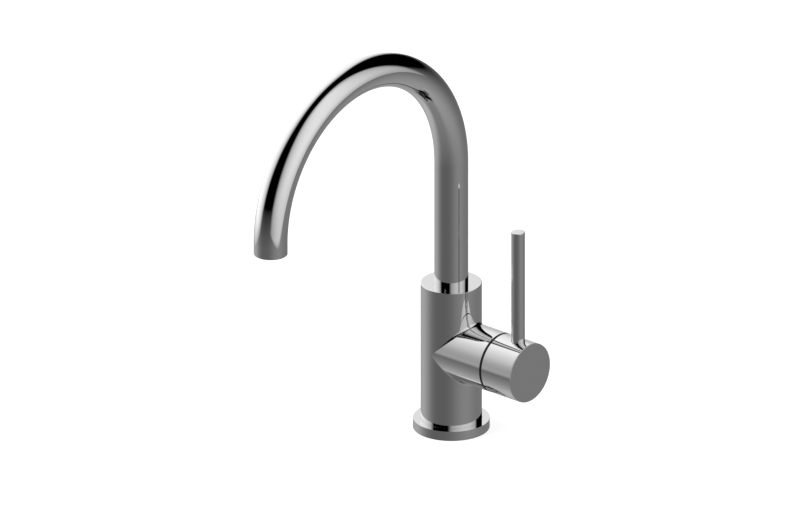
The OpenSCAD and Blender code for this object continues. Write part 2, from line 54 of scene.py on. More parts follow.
MM = 0.001                # metres in a millimetre
SMALL = 1e-4              # what counts as nothing
NEAR = 0.01               # distance at which a point still lies on a plane, in millimetres
SKIN = 1.0                # distance at which a point still belongs to an outer face
SEAM = 0.002              # distance at which the points on both sides of a seam are one
CRUMB = 0.001             # the same for the points that a boolean or a bevel leaves
FIT = 0.05                # gap between two pieces that fit each other
PAST = 1.0                # how far a cutting tool reaches past the face that it cuts
CREASE = 32               # angle from which an edge stays sharp, in degrees
SLIVER = 0.001            # smallest share of a direction that anything is divided by
BLUR = 0.02               # softness of the line at which the studio's glow goes out of sight
FULL_TURN = 2 * math.pi
HALF_SIDE = math.radians(30)    # half of the angle that a hexagon's side takes
TO_BOSS = Matrix.Rotation(math.radians(90), 4, "Y")
TO_BACK = Matrix.Rotation(math.radians(-90), 4, "X")
PLATE: Triple = (0.7, 0.7, 0.7)
WHITE = (1, 1, 1, 1)


class Round(Enum):
    """How many flats stand for a full circle."""

    FINE = 240
    MEDIUM = 128
    COARSE = 64
    THREAD = 48
    CELL = 6


class Body(Enum):
    """The bodies that the modelled pieces ride on."""

    ROOT = "root"
    SPOUT = "spout"
    LEVER = "lever"


class Slot(Enum):
    """The finishes, by the names that the record gives them."""

    CHROME = "chrome"
    CHROME_FLANGE = "chrome_flange"
    CHROME_DOME = "chrome_dome"
    CHROME_HUB = "chrome_hub"
    CHROME_PIN = "chrome_pin"
    CHROME_SPOUT = "chrome_spout"
    PLUG = "plug"
    BRASS = "brass"
    STEEL = "steel"
    STEEL_PLATE = "steel_plate"
    RUBBER = "rubber"
    CERAMIC = "ceramic"
    CARTRIDGE_PLASTIC = "cartridge_plastic"
    CARTRIDGE_SHELL = "cartridge_shell"
    AERATOR_PLASTIC = "aerator_plastic"


class Sock:
    """A shader socket that takes part in Python arithmetic."""

    def __init__(self, tree: "Tree", socket: bpy.types.NodeSocket) -> None:
        """Keep the socket and the tree it belongs to."""
        self.tree = tree
        self.socket = socket

    def combine(self, operation: str, *others: "Sock | float", swap: bool = False) -> "Sock":
        """Add a Math node.

        Args:
            operation: The Math node's operation.
            others: Its other operands.
            swap: Whether this socket comes last, as in a reflected operator.

        Returns:
            The node's result.
        """
        operands = [*others, self] if swap else [self, *others]
        made = self.tree.node("ShaderNodeMath", {"operation": operation}, dict(enumerate(operands)))
        return made["Value"]

    def __add__(self, other: "Sock | float") -> "Sock":
        """Return the sum."""
        return self.combine("ADD", other)

    def __radd__(self, other: float) -> "Sock":
        """Return the sum, from the right."""
        return self.combine("ADD", other, swap=True)

    def __sub__(self, other: "Sock | float") -> "Sock":
        """Return the difference."""
        return self.combine("SUBTRACT", other)

    def __rsub__(self, other: float) -> "Sock":
        """Return the difference, from the right."""
        return self.combine("SUBTRACT", other, swap=True)

    def __mul__(self, other: "Sock | float") -> "Sock":
        """Return the product."""
        return self.combine("MULTIPLY", other)

    def __rmul__(self, other: float) -> "Sock":
        """Return the product, from the right."""
        return self.combine("MULTIPLY", other, swap=True)

    def __truediv__(self, other: "Sock | float") -> "Sock":
        """Return the quotient."""
        return self.combine("DIVIDE", other)

    def __rtruediv__(self, other: float) -> "Sock":
        """Return the quotient, from the right."""
        return self.combine("DIVIDE", other, swap=True)

    def most(self, other: "Sock | float") -> "Sock":
        """Return the larger of the two."""
        return self.combine("MAXIMUM", other)

    def power(self, exponent: float) -> "Sock":
        """Return this socket raised to a power."""
        return self.combine("POWER", exponent)

    def root(self) -> "Sock":
        """Return the square root."""
        return self.combine("SQRT")

    def ramp(self, low: float, high: float, start: float = 0.0, end: float = 1.0) -> "Sock":
        """Run smoothly from start to end while this socket goes from low to high."""
        inputs = {"Value": self, "From Min": low, "From Max": high, "To Min": start, "To Max": end}
        return self.tree.node("ShaderNodeMapRange", {"interpolation_type": "SMOOTHSTEP"}, inputs)["Result"]


Inputs = dict[str, Sock | float]


class Made:
    """A node whose outputs are read by name or number."""

    def __init__(self, tree: "Tree", node: bpy.types.Node) -> None:
        """Keep the node and its tree."""
        self.tree = tree
        self.node = node

    def __getitem__(self, key: str | int) -> Sock:
        """Return one of the outputs."""
        return Sock(self.tree, self.node.outputs[key])


class Tree:
    """A material's or a world's node tree, emptied and written anew."""

    def __init__(self, owner: bpy.types.Material | bpy.types.World) -> None:
        """Empty the owner's tree.

        Args:
            owner: The material or the world.
        """
        owner.use_nodes = True
        self.tree = owner.node_tree
        self.tree.nodes.clear()

    def node(self, kind: str, settings: dict | None = None, inputs: dict | None = None) -> Made:
        """Add one node.

        Args:
            kind: The node's type.
            settings: Its properties, which are set first.
            inputs: A value or a link for each input, by name or number.

        Returns:
            The node.
        """
        made = self.tree.nodes.new(kind)
        for name, value in (settings or {}).items():
            setattr(made, name, value)
        for name, value in (inputs or {}).items():
            socket = made.inputs[name]
            if isinstance(value, Sock):
                self.tree.links.new(value.socket, socket)
            else:
                socket.default_value = value
        return Made(self, made)

    def place(self, centre: Triple, draw: Triple) -> Sock:
        """Object coordinates in metres.

        Args:
            centre: The point that becomes the origin.
            draw: The scale along each axis.

        Returns:
            The coordinates.
        """
        at = self.node("ShaderNodeTexCoord")["Object"]
        moved = self.node("ShaderNodeVectorMath", {"operation": "SUBTRACT"}, {0: at, 1: centre})["Vector"]
        inputs = {"Vector": moved, "Scale": draw}
        return self.node("ShaderNodeMapping", {"vector_type": "POINT"}, inputs)["Vector"]

    def noise(self, at: Sock, scale: float, detail: float) -> Sock:
        """Return noise at a place, about 0.5 on average."""
        inputs = {"Vector": at, "Scale": scale, "Detail": detail, "Roughness": 0.55}
        return self.node("ShaderNodeTexNoise", {}, inputs)["Fac"]

    def mixed(self, amount: Sock, first: Sock | tuple, second: Sock | tuple) -> Sock:
        """Mix two colours by an amount; a Mix node's colours are its inputs 6 and 7 and its output 2."""
        return self.node("ShaderNodeMix", {"data_type": "RGBA"}, {0: amount, 6: first, 7: second})[2]

    def bump(self, height: Sock, distance: float) -> Sock:
        """Return the normal of a surface with that height, in metres at a height of 1."""
        return self.node("ShaderNodeBump", {}, {"Distance": distance, "Height": height})["Normal"]


@dataclass(frozen=True)
class Finish:
    """What every finish has: a name, the colour and the place its pattern is centred on."""

    name: str
    colour: Triple
    centre: Triple = (0, 0, 0)

    def material(self) -> bpy.types.Material:
        """Make the finish's material.

        Returns:
            The material.
        """
        made = bpy.data.materials.new(self.name)
        tree = Tree(made)
        shader = tree.node("ShaderNodeBsdfPrincipled", {}, self.inputs(tree))["BSDF"]
        tree.node("ShaderNodeOutputMaterial", {}, {"Surface": shader})
        return made

    def inputs(self, tree: Tree) -> Inputs:
        """Write the finish's pattern; each kind of finish has its own."""
        raise NotImplementedError

    def at(self, tree: Tree, draw: Triple = (1, 1, 1)) -> Sock:
        """Coordinates around the finish's centre, scaled along each axis."""
        return tree.place(self.centre, draw)

    def between(self, tree: Tree, amount: Sock, dark: float, light: float) -> Sock:
        """Run the colour from one share of itself to another while the amount goes from 0 to 1."""
        low, high = (tuple(min(1.0, c * share) for c in self.colour) for share in (dark, light))
        return tree.mixed(amount, (*low, 1), (*high, 1))


@dataclass(frozen=True)
class ChromePlate(Finish):
    """Polished chrome plate: a mirror with a trace of haze, wiping marks and polishing waves."""

    haze: float = 0.008
    wipes: float = 0.012
    wave: float = 0.0000012

    def inputs(self, tree: Tree) -> Inputs:
        """Write the plate's pattern.

        Args:
            tree: The material's tree.

        Returns:
            The shader's inputs.
        """
        at = self.at(tree)
        cloud = tree.noise(at, scale=38, detail=2)
        streak = tree.noise(self.at(tree, (1, 1, 0.12)), scale=420, detail=4)
        grain = tree.noise(at, scale=2600, detail=2)
        haze = cloud.ramp(0.45, 0.75, 0.0, self.haze)
        wipes = (streak.ramp(0.55, 0.8) * cloud.ramp(0.4, 0.7)) * self.wipes
        return {
            "Base Color": self.between(tree, cloud, 0.985, 1.01),
            "Metallic": 1.0,
            "Roughness": haze + wipes + grain.ramp(0.3, 0.7, 0.02, 0.035),
            "Normal": tree.bump(tree.noise(at, scale=160, detail=1), self.wave),
        }


@dataclass(frozen=True)
class PaintedGapShadePlate(ChromePlate):
    """Chrome plate that stops short of a side in a gap, where it is dull, and whose colour there is painted
    dark as the shade in that gap.

    The side with painted shade lies between two distances from the centre, measured along the axes named.
    """

    painted_shade: Point = (0, 0)
    axes: Triple = (1, 1, 1)
    # painted shade: the colour given to the side in the gap, standing in for its shadow
    dark: Triple = (0.012, 0.012, 0.012)
    dullness: float = 0.6
    edge: float = 0.00004

    def inputs(self, tree: Tree) -> Inputs:
        """Write the plate's pattern and the painted shade of its side in the gap.

        Args:
            tree: The material's tree.

        Returns:
            The shader's inputs.
        """
        inputs = super().inputs(tree)
        at = self.at(tree, self.axes)
        away = tree.node("ShaderNodeVectorMath", {"operation": "LENGTH"}, {0: at})["Value"]
        low, high = self.painted_shade
        # Painted shade: the side in the gap is darkened, and loses its metal and shine
        painted_shade = away.ramp(low - self.edge, low) * away.ramp(high, high + self.edge, 1.0, 0.0)
        inputs["Base Color"] = tree.mixed(painted_shade, inputs["Base Color"], (*self.dark, 1))
        inputs["Metallic"] = 1 - painted_shade
        inputs["Roughness"] = inputs["Roughness"] + painted_shade * self.dullness
        return inputs


@dataclass(frozen=True)
class TurnedBrass(Finish):
    """Turned brass with fine tool rings around its axis and a little tarnish."""

    def inputs(self, tree: Tree) -> Inputs:
        """Write the brass's pattern.

        Args:
            tree: The material's tree.

        Returns:
            The shader's inputs.
        """
        at = self.at(tree)
        rings = tree.node("ShaderNodeTexWave", {"wave_type": "BANDS", "bands_direction": "Z"},
                          {"Vector": at, "Scale": 900.0, "Distortion": 0.4, "Detail": 1.0})["Fac"]
        tarnish = tree.noise(at, scale=90, detail=5)
        return {
            "Base Color": self.between(tree, tarnish, 0.8, 1.08),
            "Metallic": 1.0,
            "Roughness": tarnish.ramp(0.35, 0.7, 0.2, 0.36),
            "Normal": tree.bump(rings, 0.000006),
        }


@dataclass(frozen=True)
class Steel(Finish):
    """Stainless or plated steel, drawn in one direction, with faint scratches."""

    draw: Triple = (1, 1, 0.03)
    roughness: float = 0.28

    def inputs(self, tree: Tree) -> Inputs:
        """Write the steel's pattern.

        Args:
            tree: The material's tree.

        Returns:
            The shader's inputs.
        """
        grain = tree.noise(self.at(tree, self.draw), scale=1800, detail=3)
        patch = tree.noise(self.at(tree), scale=70, detail=4)
        return {
            "Base Color": self.between(tree, patch, 0.86, 1.06),
            "Metallic": 1.0,
            "Roughness": patch.ramp(0.3, 0.7, self.roughness - 0.06, self.roughness + 0.08),
            "Normal": tree.bump(grain, 0.000008),
        }


@dataclass(frozen=True)
class Rubber(Finish):
    """Moulded black rubber with a matt, slightly dusty skin."""

    def inputs(self, tree: Tree) -> Inputs:
        """Write the rubber's pattern.

        Args:
            tree: The material's tree.

        Returns:
            The shader's inputs.
        """
        at = self.at(tree)
        dust = tree.noise(at, scale=120, detail=6)
        return {
            "Base Color": self.between(tree, dust, 0.8, 1.7),
            "Roughness": dust.ramp(0.3, 0.75, 0.55, 0.8),
            "Specular IOR Level": 0.4,
            "Normal": tree.bump(tree.noise(at, scale=2400, detail=3), 0.00002),
        }


@dataclass(frozen=True)
class LappedCeramic(Finish):
    """Lapped alumina: pale, faintly speckled and almost polished."""

    def inputs(self, tree: Tree) -> Inputs:
        """Write the ceramic's pattern.

        Args:
            tree: The material's tree.

        Returns:
            The shader's inputs.
        """
        at = self.at(tree)
        speck = tree.noise(at, scale=3200, detail=2)
        cloud = tree.noise(at, scale=150, detail=4)
        return {
            "Base Color": self.between(tree, speck.ramp(0.3, 0.6), 0.9, 1.02),
            "Roughness": cloud.ramp(0.3, 0.7, 0.1, 0.2),
            "Coat Weight": cloud.ramp(0.3, 0.7, 0.2, 0.4),
            "Normal": tree.bump(speck, 0.000003),
        }


@dataclass(frozen=True)
class MouldedPlastic(Finish):
    """Injection-moulded plastic with a fine satin grain and, where filled, fibre streaks."""

    roughness: float = 0.42
    fibre: float = 0.0

    def inputs(self, tree: Tree) -> Inputs:
        """Write the plastic's pattern.

        Args:
            tree: The material's tree.

        Returns:
            The shader's inputs.
        """
        grain = tree.noise(self.at(tree), scale=1900, detail=3)
        flow = tree.noise(self.at(tree, (1, 1, 0.2)), scale=260, detail=5)
        streak = flow.ramp(0.5, 0.72, 0.0, self.fibre)
        return {
            "Base Color": self.between(tree, flow * 0.5 + streak, 0.93, 1.12),
            "Roughness": grain.ramp(0.3, 0.7, self.roughness - 0.08, self.roughness + 0.08),
            "Normal": tree.bump(grain, 0.000012),
        }


@dataclass(frozen=True)
class MetallisedPlastic(Finish):
    """Plastic plug with a bright metal skin, softer than the plate around it."""

    def inputs(self, tree: Tree) -> Inputs:
        """Write the skin's pattern.

        Args:
            tree: The material's tree.

        Returns:
            The shader's inputs.
        """
        peel = tree.noise(self.at(tree), scale=700, detail=2)
        return {
            "Base Color": self.between(tree, peel, 0.94, 1.04),
            "Metallic": 1.0,
            "Roughness": peel.ramp(0.3, 0.7, 0.08, 0.16),
            "Normal": tree.bump(peel, 0.000006),
        }


MADE_FINISHES: dict[Slot, Finish] = {
    Slot.CHROME: ChromePlate("chrome_body", PLATE),
    Slot.CHROME_FLANGE: ChromePlate("chrome_flange", PLATE),
    Slot.CHROME_PIN: ChromePlate("chrome_pin", PLATE),
    Slot.CHROME_SPOUT: ChromePlate("chrome_spout", PLATE),
    Slot.PLUG: MetallisedPlastic("metallised_plug", (0.55, 0.56, 0.57)),
    Slot.BRASS: TurnedBrass("turned_brass", (0.72, 0.56, 0.28)),
    Slot.STEEL: Steel("stainless_steel", (0.55, 0.55, 0.56)),
    Slot.STEEL_PLATE: Steel("zinc_plated_steel", (0.6, 0.61, 0.62), draw=(1, 0.05, 1), roughness=0.34),
    Slot.RUBBER: Rubber("moulded_rubber", (0.035, 0.035, 0.037)),
    Slot.CERAMIC: LappedCeramic("lapped_ceramic", (0.88, 0.87, 0.84)),
    Slot.CARTRIDGE_PLASTIC: MouldedPlastic("pale_acetal", (0.8, 0.79, 0.76)),
    Slot.CARTRIDGE_SHELL: MouldedPlastic("filled_shell", (0.14, 0.15, 0.16), roughness=0.5, fibre=0.35),
    Slot.AERATOR_PLASTIC: MouldedPlastic("aerator_acetal", (0.66, 0.67, 0.68), roughness=0.34),
}


def shift(x: float = 0, y: float = 0, z: float = 0) -> Matrix:
    """Move along the axes."""
    return Matrix.Translation((x, y, z))


def arc(centre: float, radius: float, start: float, end: float, steps: int) -> list[Point]:
    """Points of an arc, between two angles from the axis in degrees, around a height on the axis."""
    angles = [math.radians(start + (end - start) * k / steps) for k in range(steps + 1)]
    return [(max(0.0, radius * math.sin(a)), centre + radius * math.cos(a)) for a in angles]


class Shape:
    """A piece's mesh while it is made, in millimetres."""

    def __init__(self) -> None:
        """Start with nothing."""
        self.bm = bmesh.new()

    def edges(self, chosen: Callable[[Vector], bool]) -> list[bmesh.types.BMEdge]:
        """Return the edges of which both ends are chosen by their place."""
        return [e for e in self.bm.edges if all(chosen(v.co) for v in e.verts)]

    def rim(self, level: float) -> list[bmesh.types.BMEdge]:
        """Return the open edges at a height."""
        return [e for e in self.edges(lambda at: abs(at.z - level) < NEAR) if e.is_boundary]

    def add(self, other: "Shape") -> "Shape":
        """Take another shape in, which is used up.

        Args:
            other: The other shape.

        Returns:
            This shape.
        """
        carried = bpy.data.meshes.new("carried")
        other.bm.to_mesh(carried)
        other.bm.free()
        self.bm.from_mesh(carried)
        bpy.data.meshes.remove(carried)
        return self

    def join(self, *others: "Shape") -> "Shape":
        """Take other shapes in and close the seams between them.

        Args:
            others: The other shapes, which are used up.

        Returns:
            This shape.
        """
        for other in others:
            self.add(other)
        return self.weld()

    def weld(self, reach: float = SEAM) -> "Shape":
        """Merge points that lie within reach of each other."""
        bmesh.ops.remove_doubles(self.bm, verts=self.bm.verts[:], dist=reach)
        return self

    def move(self, place: Matrix) -> "Shape":
        """Turn and shift the whole shape."""
        bmesh.ops.transform(self.bm, matrix=place, verts=self.bm.verts[:])
        return self

    def drop(self, faces: Iterable[bmesh.types.BMFace]) -> "Shape":
        """Delete faces and what only they used."""
        bmesh.ops.delete(self.bm, geom=list(faces), context="FACES")
        return self

    def outward(self) -> "Shape":
        """Turn every face outwards."""
        bmesh.ops.recalc_face_normals(self.bm, faces=self.bm.faces[:])
        return self

    def cap(self, level: float) -> "Shape":
        """Fill the open edges at a height, leaving out the loops inside the outermost."""
        bmesh.ops.triangle_fill(self.bm, use_beauty=True, use_dissolve=False, edges=self.rim(level))
        return self

    def cut(self, point: Sequence[float], normal: Sequence[float], clear: bool = False) -> "Shape":
        """Cut the faces along a plane.

        Args:
            point: A point of the plane.
            normal: The plane's normal.
            clear: Whether what lies on the normal's side is dropped.

        Returns:
            This shape.
        """
        everything = self.bm.verts[:] + self.bm.edges[:] + self.bm.faces[:]
        bmesh.ops.bisect_plane(self.bm, geom=everything, dist=SMALL, plane_co=point, plane_no=normal,
                               clear_outer=clear)
        return self

    @staticmethod
    def spun(outline: Sequence[Point], flats: Round, ring: bool = False, rise: float = 0) -> "Shape":
        """Spin an outline of (radius, height) points once about +Z.

        Args:
            outline: The points.
            flats: How many flats the full turn has.
            ring: Whether the outline closes on itself.
            rise: How far the turn climbs.

        Returns:
            The new shape.
        """
        part = Shape()
        points = [part.bm.verts.new((radius, 0, height)) for radius, height in outline]
        ends = points[1:] + points[:1] if ring else points[1:]
        lines = [part.bm.edges.new(pair) for pair in zip(points, ends)]
        steps = flats.value
        # A turn that climbs never meets its start, so only a level one is merged
        bmesh.ops.spin(part.bm, geom=points + lines, cent=(0, 0, 0), axis=(0, 0, 1),
                       dvec=(0, 0, rise / steps), angle=FULL_TURN, steps=steps, use_merge=not rise)
        return part.weld(SMALL)

    def lathe(self, outline: Sequence[Point], flats: Round = Round.FINE, ring: bool = False) -> "Shape":
        """Add a turned form about +Z, of (radius, height) points that may close to a ring."""
        return self.add(self.spun(outline, flats, ring).outward())

    def ring(self, inside: float, outside: float, low: float, high: float) -> "Shape":
        """Add a plain ring about +Z between two radii and two heights."""
        outline = [(inside, low), (outside, low), (outside, high), (inside, high)]
        return self.lathe(outline, Round.MEDIUM, ring=True)

    def rod(self, low: float, *steps: Point, flats: Round = Round.COARSE) -> "Shape":
        """Add a closed stepped rod about +Z.

        Args:
            low: Its lower end.
            steps: The radius and the upper end of each step, from below.
            flats: How many flats the full turn has.

        Returns:
            This shape.
        """
        outline = [(0, low)]
        for radius, high in steps:
            outline += [(radius, outline[-1][1]), (radius, high)]
        return self.lathe([*outline, (0, outline[-1][1])], flats)

    def thread(self, root: float, crest: float, pitch: float, low: float, high: float) -> "Shape":
        """Add the walls of a screw thread about +Z, cut square at both ends.

        Args:
            root: The smallest radius.
            crest: The largest radius.
            pitch: The rise of one turn.
            low: Where the thread starts.
            high: Where it ends.

        Returns:
            This shape.
        """
        outline = []
        for turn in range(math.ceil((high - low) / pitch) + 2):
            start = low + (turn - 1) * pitch
            outline += [(root, start), (crest, start + pitch / 2)]
        part = self.spun(outline, Round.THREAD, rise=pitch)
        for level, side in ((low, -1), (high, 1)):
            part.cut((0, 0, level), (0, 0, side), clear=True)
        return self.add(part)

    def block(self, low: Sequence[float], high: Sequence[float]) -> "Shape":
        """Add a box.

        Args:
            low: Its lowest corner.
            high: Its highest corner.

        Returns:
            This shape.
        """
        middle = [(a + b) / 2 for a, b in zip(low, high)]
        sides = [b - a for a, b in zip(low, high)]
        place = shift(*middle) @ Matrix.Diagonal((*sides, 1))
        bmesh.ops.create_cube(self.bm, size=1, matrix=place, calc_uvs=False)
        return self

    def pierced(self, radius: float, holes: Iterable[Point], hole_radius: float,
                low: float, high: float) -> "Shape":
        """Add a round plate with hexagonal holes.

        Args:
            radius: The plate's radius.
            holes: The centres of its holes.
            hole_radius: Their radius, to the corners.
            low: The plate's underside.
            high: Its upper side.

        Returns:
            This shape.
        """
        part = Shape()
        rims = [((0, 0), radius, Round.MEDIUM)] + [(at, hole_radius, Round.CELL) for at in holes]
        for at, size, flats in rims:
            bmesh.ops.create_circle(part.bm, cap_ends=False, radius=size, segments=flats.value,
                                    matrix=shift(*at, low), calc_uvs=False)
        bmesh.ops.triangle_fill(part.bm, use_beauty=True, use_dissolve=False, edges=part.bm.edges[:])
        grown = bmesh.ops.extrude_face_region(part.bm, geom=part.bm.faces[:])["geom"]
        upper = [item for item in grown if isinstance(item, bmesh.types.BMVert)]
        bmesh.ops.translate(part.bm, vec=(0, 0, high - low), verts=upper)
        return self.add(part)

    def pull(self, edges: Sequence[bmesh.types.BMEdge], rise: float) -> list[bmesh.types.BMVert]:
        """Extrude open edges upwards.

        Args:
            edges: The edges.
            rise: How far they go up.

        Returns:
            The points of the new edges.
        """
        grown = bmesh.ops.extrude_edge_only(self.bm, edges=edges)["geom"]
        points = [item for item in grown if isinstance(item, bmesh.types.BMVert)]
        bmesh.ops.translate(self.bm, vec=(0, 0, rise), verts=points)
        return points

    def soften(self, width: float, segments: int = 3, corner: float = 30,
               of: Iterable[bmesh.types.BMEdge] | None = None) -> "Shape":
        """Round off the edges.

        Args:
            width: The width of the rounding.
            segments: Its number of steps.
            corner: The angle from which an edge counts, in degrees.
            of: The edges to choose from, or all.

        Returns:
            This shape.
        """
        keen = [e for e in (self.bm.edges if of is None else of)
                if e.is_manifold and e.calc_face_angle(0) > math.radians(corner)]
        bmesh.ops.bevel(self.bm, geom=keen, offset=width, offset_type="OFFSET", affect="EDGES",
                        segments=segments, profile=0.5, material=-1, clamp_overlap=True)
        return self

    def fillet(self, radius: float, on_seam: Callable[[Vector], bool], steps: int = 6) -> "Shape":
        """Fill an inside seam with one radius, also where its walls run together.

        Args:
            radius: The fillet's radius.
            on_seam: Tells whether a point lies on the seam.
            steps: How many faces the fillet has across.

        Returns:
            This shape.
        """
        weight = self.bm.edges.layers.float.new("bevel_weight_edge")
        for edge in self.edges(on_seam):
            if edge.is_manifold:
                edge[weight] = min(1.0, math.tan(edge.calc_face_angle() / 2))
        piece = self.loose("filleted")
        step = piece.modifiers.new("fillet", "BEVEL")
        step.limit_method, step.offset_type, step.use_clamp_overlap = "WEIGHT", "OFFSET", False
        step.width, step.segments = radius, steps
        return self.take(piece)

    def trim(self, operation: str, *tools: "Shape") -> "Shape":
        """Combine this closed shape with others.

        Args:
            operation: DIFFERENCE, INTERSECT or UNION.
            tools: The other closed shapes, which are used up.

        Returns:
            This shape.
        """
        target = self.outward().loose("trimmed")
        used = [tool.outward().loose("tool") for tool in tools]
        for tool in used:
            step = target.modifiers.new("trim", "BOOLEAN")
            step.operation, step.solver, step.object = operation, "EXACT", tool
        return self.take(target, *used)

    def loose(self, name: str) -> bpy.types.Object:
        """Turn the shape into a linked object, still in millimetres.

        Args:
            name: The object's name.

        Returns:
            The object.
        """
        mesh = bpy.data.meshes.new(name)
        self.bm.to_mesh(mesh)
        self.bm.free()
        made = bpy.data.objects.new(name, mesh)
        bpy.context.scene.collection.objects.link(made)
        return made

    def take(self, piece: bpy.types.Object, *spent: bpy.types.Object) -> "Shape":
        """Read a loose object back with its modifiers applied.

        Args:
            piece: The object.
            spent: Other objects that it used; all are removed.

        Returns:
            This shape.
        """
        graph = bpy.context.evaluated_depsgraph_get()
        result = bpy.data.meshes.new_from_object(piece.evaluated_get(graph))
        self.bm = bmesh.new()
        self.bm.from_mesh(result)
        for mesh in (result, *(item.data for item in (piece, *spent))):
            bpy.data.meshes.remove(mesh)
        return self.weld(CRUMB)


@dataclass(frozen=True)
class Extent:
    """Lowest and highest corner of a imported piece, in millimetres."""

    low: Vector
    high: Vector

    @classmethod
    def of(cls, node: str) -> "Extent":
        """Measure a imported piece."""
        low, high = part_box(node)
        return cls(low / MM, high / MM)

    @property
    def middle(self) -> Vector:
        """Centre of the box."""
        return (self.low + self.high) / 2

    @property
    def size(self) -> Vector:
        """Sides of the box."""
        return self.high - self.low


def packed(node: str) -> Extent:
    """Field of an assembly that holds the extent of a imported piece."""
    return field(default_factory=lambda: Extent.of(node))


class Workshop:
    """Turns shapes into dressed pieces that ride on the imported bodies."""

    def __init__(self) -> None:
        """Mix every finish once."""
        self.finishes = {slot: finish.material() for slot, finish in MADE_FINISHES.items()}

    def mix(self, slot: Slot, finish: Finish) -> None:
        """Mix a finish that follows the sizes of a piece."""
        self.finishes[slot] = finish.material()

    def fit(self, shape: Shape, name: str, body: Body, slot: Slot, node: str) -> bpy.types.Object:
        """Make a finished piece of a shape.

        Args:
            shape: The shape, in millimetres, in its place.
            name: The piece's name.
            body: The body it rides on.
            slot: Its finish.
            node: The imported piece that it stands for.

        Returns:
            The piece.
        """
        for face in shape.outward().bm.faces:
            face.smooth = True
        for edge in shape.bm.edges:
            edge.smooth = edge.is_manifold and edge.calc_face_angle(0) < math.radians(CREASE)
        piece = shape.loose(name)
        piece.data.materials.append(self.finishes[slot])
        self.even_out(piece)
        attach(piece, body.value)
        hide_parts(node)
        log.info("%s: %d faces in %s, rides on %s", name, len(piece.data.polygons), slot.value, body.value)
        return piece

    @staticmethod
    def even_out(piece: bpy.types.Object) -> None:
        """Let the large faces lead the shading, and bring the piece from millimetres to metres.

        Args:
            piece: The piece; its faces are too small for the modifier once they are in metres.
        """
        level = piece.modifiers.new("even_shading", "WEIGHTED_NORMAL")
        level.keep_sharp = True
        graph = bpy.context.evaluated_depsgraph_get()
        even = bpy.data.meshes.new_from_object(piece.evaluated_get(graph))
        uneven, piece.data = piece.data, even
        even.name = piece.name
        piece.modifiers.clear()
        bpy.data.meshes.remove(uneven)
        even.transform(Matrix.Scale(MM, 4))

    def dress(self, node: str, slot: Slot) -> None:
        """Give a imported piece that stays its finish.

        Args:
            node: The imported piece.
            slot: The finish.
        """
        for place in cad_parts[node].material_slots:
            place.material = self.finishes[slot]
        log.info("%s: packed piece in %s", node, slot.value)


